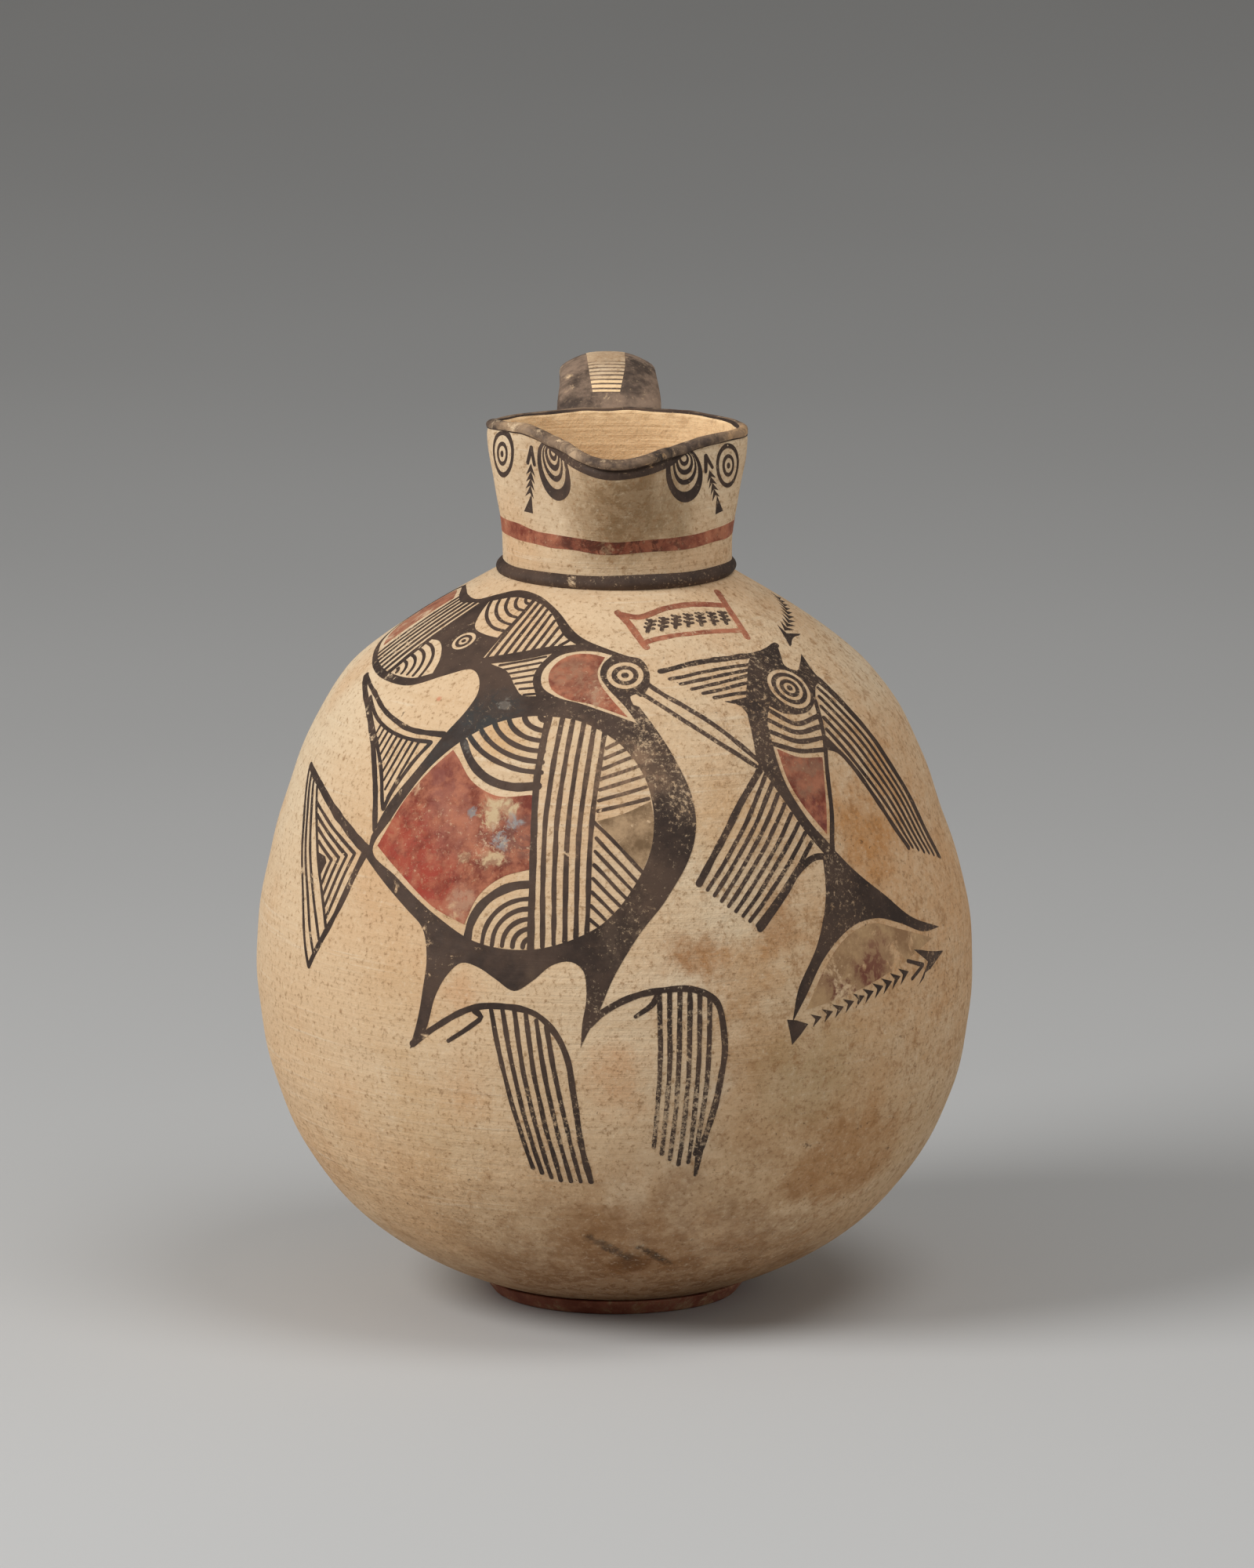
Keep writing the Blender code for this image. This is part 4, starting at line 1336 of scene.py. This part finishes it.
# Stains on the clay, and broad darker patches of painted shade among them: place on the body chart or in
# space, radius, ragged edge, strength and colour
STAINS_AND_SHADE = [
    ((100, 56), 0.023, 0.020, 0.95, (192, 132, 72)),
    ((118, 74), 0.016, 0.020, 0.65, (186, 132, 76)),
    ((26, 22), 0.012, 0.018, 0.85, (168, 116, 70)),
    ((54, 32), 0.011, 0.016, 0.65, (178, 124, 76)),
    ((44, -6), 0.016, 0.020, 0.45, (184, 134, 84)),
    ((38, 15), 0.018, 0.022, 0.55, (190, 138, 86)),
    ((0, -14), 0.018, 0.018, 0.50, (204, 144, 92)),
    ((-48, -24), 0.014, 0.016, 0.45, (206, 150, 98)),
    ((-50, 10), 0.010, 0.012, 0.45, (206, 146, 96)),
    ((-70, 0), 0.030, 0.030, 0.25, (206, 160, 108)),
    ((40, 62), 0.020, 0.026, 0.30, (196, 150, 96)),
    ((80, -48), 0.030, 0.036, 0.60, (172, 118, 70)),
    ((68, -18), 0.024, 0.024, 0.55, (192, 168, 128)),
    ((92, -52), 0.030, 0.040, 0.40, (178, 124, 74)),
    ((0, -80), 0.030, 0.036, 0.42, (176, 124, 74)),
    ((5, -92), 0.008, 0.008, 0.55, (150, 104, 58)),
    ((6, -88.5), 0.0090, 0.008, 1.00, (66, 44, 30)),
    ((9, -91), 0.0060, 0.006, 1.00, (66, 44, 30)),
    ((-81.5, 103), 0.0012, 0.001, 0.80, (206, 112, 82)),
    ((-62, -30), 0.034, 0.044, 0.22, (200, 158, 106)),
    ((-45, 92), 0.011, 0.012, 0.45, (204, 150, 86)),
    # Warm darkening low on the right: partly stained clay, partly painted shade
    ((90, -45), 0.090, 0.060, 0.40, (174, 134, 88)),
    # Dark brown under the belly: partly stained clay, partly painted shade at the bottom
    ((4, -122), 0.092, 0.050, 0.90, (124, 82, 46)),
    ((-70, -60), 0.060, 0.050, 0.20, (206, 164, 114)),
    # Warm brown on the right flank: partly stained clay, partly painted shade with warm reflected light
    ((130, 34), 0.085, 0.050, 0.60, (204, 148, 94)),
    # Neck front under the spout, darker: partly grime, partly painted shadow of the spout
    ((0.002, -0.044, 0.261), 0.034, 0.020, 0.85, (134, 104, 68)),
    # Right of the neck front, darker: painted shade beside the spout
    ((0.023, -0.036, 0.260), 0.020, 0.014, 0.60, (150, 122, 86)),
    # Left of the neck front, a little darker: painted shade beside the spout
    ((-0.018, -0.040, 0.260), 0.014, 0.012, 0.35, (164, 134, 98)),
    ((-0.002, 0.052, 0.292), 0.016, 0.012, 0.60, (158, 130, 102)),
    # A little darker over the neck's left front
    ((-0.026, -0.030, 0.262), 0.028, 0.020, 0.55, (190, 160, 126)),
]
STAINS_AND_SHADE += [(place, 0.0028, 0.003, 0.95, (92, 70, 52)) for place in np.linspace((-10, -76), (5, -87), 6)]
STAINS_AND_SHADE += [(place, 0.0022, 0.002, 1.00, (72, 54, 40)) for place in np.linspace((10, -81), (24, -91), 7)]

# Spots smaller than this have the finer of two ragged edges
SMALL_SPOT = 0.0075

# Changes of tone in the red slip: a bright lower left in the bird's panel, bare spots, grey deposits and
# painted shade at the front of the neck's band
RED_PATCHES = [
    ((-75, 50), 0.022, 0.012, 0.75, (164, 62, 46)),
    ((-62, 41), 0.014, 0.012, 0.75, (162, 58, 42)),
    ((-58, 63), 0.014, 0.016, 0.55, (166, 104, 84)),
    ((-62, 79), 0.014, 0.014, 0.60, (142, 82, 70)),
    ((-32, 60), 0.014, 0.014, 0.75, (122, 80, 68)),
    ((-52, 39), 0.008, 0.010, 0.75, (184, 142, 114)),
    ((-43, 68.5), 0.0055, 0.009, 0.95, (208, 182, 142)),
    ((-38, 69.5), 0.005, 0.009, 0.95, (208, 182, 142)),
    ((-42, 64), 0.003, 0.007, 0.90, (204, 176, 136)),
    ((-44, 53), 0.0032, 0.007, 0.95, (206, 176, 136)),
    ((-39.5, 53), 0.003, 0.007, 0.95, (206, 176, 136)),
    ((-52, 53), 0.0022, 0.006, 0.85, (200, 168, 130)),
    ((-35.5, 65), 0.0032, 0.007, 0.95, (154, 149, 146)),
    ((-40, 60), 0.003, 0.007, 0.95, (152, 147, 144)),
    ((-38, 58), 0.0025, 0.006, 0.90, (154, 149, 145)),
    ((-51, 68), 0.0018, 0.004, 0.90, (140, 135, 132)),
    ((80, 78), 0.010, 0.016, 0.70, (150, 112, 88)),
    ((78, 64), 0.006, 0.010, 0.60, (112, 58, 56)),
    ((-178, 130), 0.026, 0.014, 0.75, (176, 126, 98)),
    ((-14, 116), 0.012, 0.012, 0.75, (160, 118, 92)),
    ((-7, 108), 0.006, 0.008, 0.80, (178, 142, 114)),
    ((54, 140), 0.040, 0.012, 0.55, (182, 120, 90)),
    # Dark at the front of the neck's band under the spout: painted shade
    ((0.0, -0.038, 0.2485), 0.034, 0.012, 0.95, (88, 47, 34)),
    ((0.036, -0.010, 0.2485), 0.016, 0.012, 0.75, (186, 122, 90)),
    ((-0.036, -0.010, 0.2485), 0.012, 0.010, 0.55, (176, 112, 84)),
]

# Where the slip is scuffed through in fine flecks: place on the body chart, radius and strength
SCUFFS = [
    ((27, 72), 0.022, 0.055),
    ((14, 96), 0.014, 0.055),
    ((6, 32), 0.020, 0.050),
    ((-14, 12), 0.012, 0.060),
    ((-24, -34), 0.024, 0.105),
    ((20, -30), 0.022, 0.095),
    ((-60, 58), 0.030, 0.090),
    ((-36, 58), 0.016, 0.090),
    ((-54, 97), 0.016, 0.060),
    ((46, 50), 0.022, 0.060),
]

# Dark slip: cold patches with deposits where the bird's neck meets its back, and paler worn ones
DARK_PATCHES = [
    ((-60, 95), 0.012, 0.010, 0.90, (56, 53, 50)),
    ((-50, 101), 0.011, 0.010, 0.85, (58, 56, 53)),
    ((-72, 84), 0.007, 0.007, 0.75, (60, 57, 53)),
    ((-47, 103.5), 0.0025, 0.007, 0.75, (150, 142, 130)),
    ((-58, 88), 0.0025, 0.007, 0.70, (122, 114, 104)),
    ((-22, 14), 0.010, 0.012, 0.50, (104, 84, 66)),
    ((28, 74), 0.013, 0.016, 0.45, (112, 92, 76)),
    ((2, 28), 0.012, 0.016, 0.40, (108, 88, 72)),
    ((6, 82), 0.017, 0.010, 0.95, (142, 113, 89)),
    ((-14, 66), 0.017, 0.014, 0.65, (118, 92, 73)),
    ((-14, 92), 0.014, 0.014, 0.70, (118, 92, 73)),
    ((8, 48), 0.014, 0.012, 0.40, (106, 84, 68)),
]

# Uneven tones along the lip: worn pale at its corners, dark at the edges of the spout
RIM_PATCHES = [
    ((-0.0150, -0.040, 0.277), 0.009, 0.008, 0.95, (196, 166, 134)),
    ((-0.0330, -0.016, 0.282), 0.010, 0.010, 0.90, (186, 154, 120)),
    ((0.0390, -0.004, 0.279), 0.012, 0.010, 0.95, (194, 156, 116)),
    ((0.0150, -0.037, 0.275), 0.008, 0.008, 0.95, (60, 50, 44)),
    ((0.0240, 0.025, 0.280), 0.012, 0.010, 0.85, (92, 68, 54)),
]

# The strap is darker at its foot on the rim and rubbed pale on its left side
STRAP_PATCHES = [
    ((-0.002, 0.030, 0.294), 0.017, 0.010, 0.95, (72, 60, 52)),
    ((-0.014, 0.040, 0.309), 0.006, 0.008, 0.95, (176, 152, 126)),
    ((0.012, 0.042, 0.306), 0.006, 0.008, 0.80, (150, 122, 104)),
]

# What is left of the red between the fish's tail fins
WASH_PATCHES = [
    ((76, 8), 0.006, 0.009, 0.95, (112, 58, 46)),
    ((88, 12), 0.008, 0.010, 0.95, (118, 64, 50)),
    ((94, 19), 0.008, 0.012, 0.75, (132, 84, 64)),
    ((70, 13), 0.005, 0.007, 0.75, (120, 74, 58)),
]

# Slips: deep and pale tone, cover, share of flecks, rates of the wear and of the mottling, softness of the
# worn edges, and patches
SLIPS = {
    "dark_slip": ((56, 43, 36), (86, 67, 55), 0.875, 0.75, 150.0, 34.0, 0.09, DARK_PATCHES),
    "red_slip": ((118, 52, 37), (184, 114, 84), 0.82, 0.7, 140.0, 150.0, 0.20, RED_PATCHES),
    "foot_slip": ((120, 64, 46), (156, 98, 74), 0.74, 0.7, 120.0, 60.0, 0.14, []),
    "umber_slip": ((122, 96, 68), (186, 154, 118), 0.82, 0.6, 150.0, 110.0, 0.09, []),
    "red_wash": ((152, 116, 82), (192, 156, 114), 0.76, 0.6, 80.0, 70.0, 0.09, WASH_PATCHES),
    "rim_slip": ((78, 63, 54), (142, 117, 94), 0.76, 0.7, 200.0, 120.0, 0.16, RIM_PATCHES),
    "strap_slip": ((74, 60, 51), (152, 127, 107), 0.80, 0.6, 120.0, 90.0, 0.14, STRAP_PATCHES),
}

# Clay tones over the ground colour. The inside of the neck takes a paler tint: its own smoother clay,
# brightened further as painted light in the mouth.
INSIDE_TONE_AND_PAINTED_LIGHT = (255, 219, 170)
DIRT_TINT = (152, 114, 76)
PALE_GRAIN_TINT = (240, 222, 192)
GRIT_TINT = (160, 114, 70)
# Dark tint in the clay's small pits: painted shade in those hollows
PIT_SHADE_TINT = (104, 76, 50)

# How deep the bump of the clay is, bare and under a slip
CLAY_BUMP = 0.00038
SLIP_BUMP = 0.00012


def spotted(shader, colour, spots, soft, broken):
    """Return a colour with ragged spots of other tones laid over it, broken up into flecks or whole."""
    flecks = shader.between(shader.noise(210.0, 6.0, 0.72, warp=0.5), 0.46, 0.56, 1.0 - broken, 1.0)
    for place, radius, edge, strength, tint in spots:
        point = on_body(*place) if len(place) == 2 else place
        spot = shader.times(shader.near(point, radius, edge, soft), strength)
        colour = shader.mix(shader.times(spot, flecks), colour, srgb(*tint))
    return colour


def clay(shader):
    """Return the colour and the height of the bare clay."""
    broad = shader.noise(7.0, 3.0, 0.5, warp=0.6)
    blush = shader.noise(24.0, 5.0, 0.6)
    smear = shader.noise(13.0, 4.0, 0.6, warp=0.8)
    grain = shader.noise(620.0, 3.0, 0.7)
    wiped = shader.noise(9.0, 4.0, 0.6, shader.scaled((2.2, 2.2, 44.0)))
    combed = shader.noise(14.0, 5.0, 0.6, shader.scaled((1.2, 1.2, 60.0)), warp=0.3)
    inside = shader.faces_axis()
    colour = shader.mix(shader.between(broad, 0.32, 0.68), srgb(222, 189, 150), srgb(229, 205, 171))
    for value, low, high, share, tint in (
        # Warmer and darker towards the bottom: partly stained clay, partly painted shade
        (shader.part("Z"), 0.16, 0.03, 0.25, (212, 168, 122)),
        (blush, 0.44, 0.72, 0.50, (212, 166, 120)),
        (smear, 0.52, 0.72, 0.45, (234, 213, 183)),
        (wiped, 0.45, 0.75, 0.24, (194, 156, 112)),
        (combed, 0.60, 0.70, 0.35, (236, 218, 190)),
    ):
        colour = shader.mix(shader.between(value, low, high, 0.0, share), colour, srgb(*tint))
    colour = spotted(shader, colour, STAINS_AND_SHADE, 0.8, 0.25)
    # Paler inside the neck: partly its own clay, partly painted light in the mouth
    colour = shader.mix(shader.times(inside, 0.90), colour, srgb(*INSIDE_TONE_AND_PAINTED_LIGHT))
    outside = shader.minus(1.0, shader.times(inside, 0.7))
    dirt = shader.times(shader.between(grain, 0.52, 0.72, 0.0, 0.74), outside)
    colour = shader.mix(dirt, colour, srgb(*DIRT_TINT))
    colour = shader.mix(shader.between(grain, 0.45, 0.27, 0.0, 0.30), colour, srgb(*PALE_GRAIN_TINT))
    low = shader.between(shader.part("Z"), 0.10, 0.04, 0.0, 0.6)
    rough = shader.larger(low, shader.between(shader.part("X"), -0.02, 0.07))
    grit = shader.between(shader.noise(200.0, 5.0, 0.78, warp=0.3), 0.50, 0.66, 0.0, 0.62)
    colour = shader.mix(shader.times(grit, rough), colour, srgb(*GRIT_TINT))
    crowded = shader.between(shader.noise(16.0, 3.0), 0.30, 0.70, 0.04, -0.01)
    crowded = shader.minus(crowded, shader.times(rough, 0.04))
    crowded = shader.plus(crowded, shader.times(inside, 0.1))
    fine = shader.minus(shader.noise(520.0, 4.0, 0.75), crowded)
    coarse = shader.minus(shader.noise(190.0, 5.0, 0.7), crowded)
    pit = shader.larger(shader.between(fine, 0.69, 0.75), shader.between(coarse, 0.705, 0.74))
    # The pits are darkened as painted shade in small hollows
    colour = shader.mix(shader.times(pit, 0.60), colour, srgb(*PIT_SHADE_TINT))
    height = shader.minus(shader.times(grain, 0.8), pit)
    lumpy = shader.between(rough, 0.0, 1.0, 1.0, 2.6)
    for value, share in ((wiped, 0.8), (combed, 0.7), (shader.noise(120.0, 4.0, 0.62), lumpy)):
        height = shader.plus(height, shader.times(value, share))
    return colour, height


def clay_finish():
    shader = Shader("clay")
    colour, height = clay(shader)
    shader.finish(colour, shader.between(shader.noise(40.0), 0.3, 0.7, 0.78, 0.92), 0.25)
    shader.bump(height, CLAY_BUMP)
    return shader.material


def slip_finish(name, deep, pale, cover, flecks, wear, mottle, soft, patches):
    """Return a slip that varies between two tones and is rubbed through to the clay in places."""
    shader = Shader(name)
    bare, height = clay(shader)
    pale = srgb(*pale)
    tone = shader.mix(shader.between(shader.noise(mottle, 6.0, 0.68), 0.36, 0.64), srgb(*deep), pale)
    tone = shader.mix(shader.between(shader.noise(240.0, 3.0), 0.5, 0.72, 0.0, 0.35), tone, pale)
    tone = spotted(shader, tone, patches, 0.6, 0.65)
    rubbed = shader.noise(wear, 6.0, 0.72, warp=0.4)
    thin = shader.times(shader.noise(19.0, 3.0), 0.45)
    worn = shader.between(shader.plus(rubbed, thin), cover, cover + soft)
    zone = shader.between(shader.noise(16.0, 3.0, 0.55), 0.40, 0.62, 0.0, 0.07)
    zone = shader.plus(zone, shader.between(shader.part("X"), -0.05, 0.02, 0.0, 0.05))
    for place, radius, strength in SCUFFS:
        rub = shader.near(on_body(*place), radius, 0.010, 0.8)
        zone = shader.plus(zone, shader.times(rub, strength))
    scuff = shader.plus(shader.noise(700.0, 6.0, 0.84), zone)
    bared = shader.larger(worn, shader.between(scuff, 0.64, 0.76, 0.0, flecks))
    shader.finish(shader.mix(bared, tone, bare), shader.between(rubbed, 0.3, 0.7, 0.62, 0.82), 0.28)
    shader.bump(height, SLIP_BUMP)
    return shader.material


def floor_finish():
    shader = Shader("floor")
    cloud = shader.between(shader.noise(1.2, 2.0), 0.3, 0.7)
    shader.finish(shader.mix(cloud, srgb(196, 196, 195), srgb(200, 200, 199)), 0.8, 0.1)
    return shader.material


def make_floor():
    mesh = bpy.data.meshes.new("floor")
    half = 15.0
    corners = [(-half, -half, 0), (half, -half, 0), (half, half, 0), (-half, half, 0)]
    mesh.from_pydata(corners, [], [(0, 1, 2, 3)])
    floor = bpy.data.objects.new("floor", mesh)
    bpy.context.scene.collection.objects.link(floor)
    mesh.materials.append(floor_finish())


def aim(item, place, target):
    item.location = place
    item.rotation_euler = (Vector(target) - Vector(place)).to_track_quat("-Z", "Y").to_euler()


def make_light(name, place, target, size, power):
    lamp = bpy.data.lights.new(name, "AREA")
    lamp.shape = "DISK"
    lamp.size = size
    lamp.energy = power
    item = bpy.data.objects.new(name, lamp)
    bpy.context.scene.collection.objects.link(item)
    aim(item, place, target)


def make_lights():
    middle = (0.0, 0.0, 0.14)
    make_light("key", (-1.55, -0.85, 1.38), middle, 1.2, 33.4)
    make_light("fill", (1.5, -0.9, 0.7), middle, 1.2, 4.2)
    make_light("top", (0.65, -0.45, 1.90), middle, 1.0, 10.0)
    world = bpy.data.worlds.new("studio")
    world.use_nodes = True
    sky = world.node_tree.nodes["Background"]
    sky.inputs["Color"].default_value = (1.0, 0.98, 0.95, 1.0)
    sky.inputs["Strength"].default_value = 0.20
    bpy.context.scene.world = world


def make_camera():
    """Set the camera at the photograph's viewing angle, for an image of 1600 by 2000 pixels."""
    picture_height = 2000.0
    focus_pixels = 17156.0
    pitch = math.radians(11.057)
    lens = bpy.data.cameras.new("camera")
    lens.sensor_width = 36.0
    lens.lens = focus_pixels / picture_height * lens.sensor_width
    camera = bpy.data.objects.new("camera", lens)
    bpy.context.scene.collection.objects.link(camera)
    camera.location = (0.00367, -4.2, 0.985)
    camera.rotation_euler = (math.pi / 2 - pitch, 0.0, 0.0)
    bpy.context.scene.camera = camera


def main():
    clay_material = clay_finish()
    slips = {name: slip_finish(name, *look) for name, look in SLIPS.items()}
    finishes = {
        "dark": (slips["dark_slip"], "dark_slip"),
        "red": (slips["red_slip"], "red_slip"),
        "umber": (slips["umber_slip"], "dark_slip"),
        "wash": (slips["red_wash"], "red_slip"),
        "rim": (slips["rim_slip"], "dark_slip"),
        "panel": (clay_material, "clay"),
    }
    make_body(clay_material)
    make_neck(clay_material)
    make_neck_ring(slips["dark_slip"])
    make_foot(slips["foot_slip"])
    make_handle(slips["strap_slip"])
    paint_bird(finishes)
    paint_fish(finishes)
    paint_shoulder(finishes)
    paint_neck(finishes)
    paint_handle({"panel": finishes["panel"]})
    make_floor()
    make_lights()
    make_camera()
    bpy.context.scene.view_settings.view_transform = "Standard"


main()
bpy.context.view_layer.update()
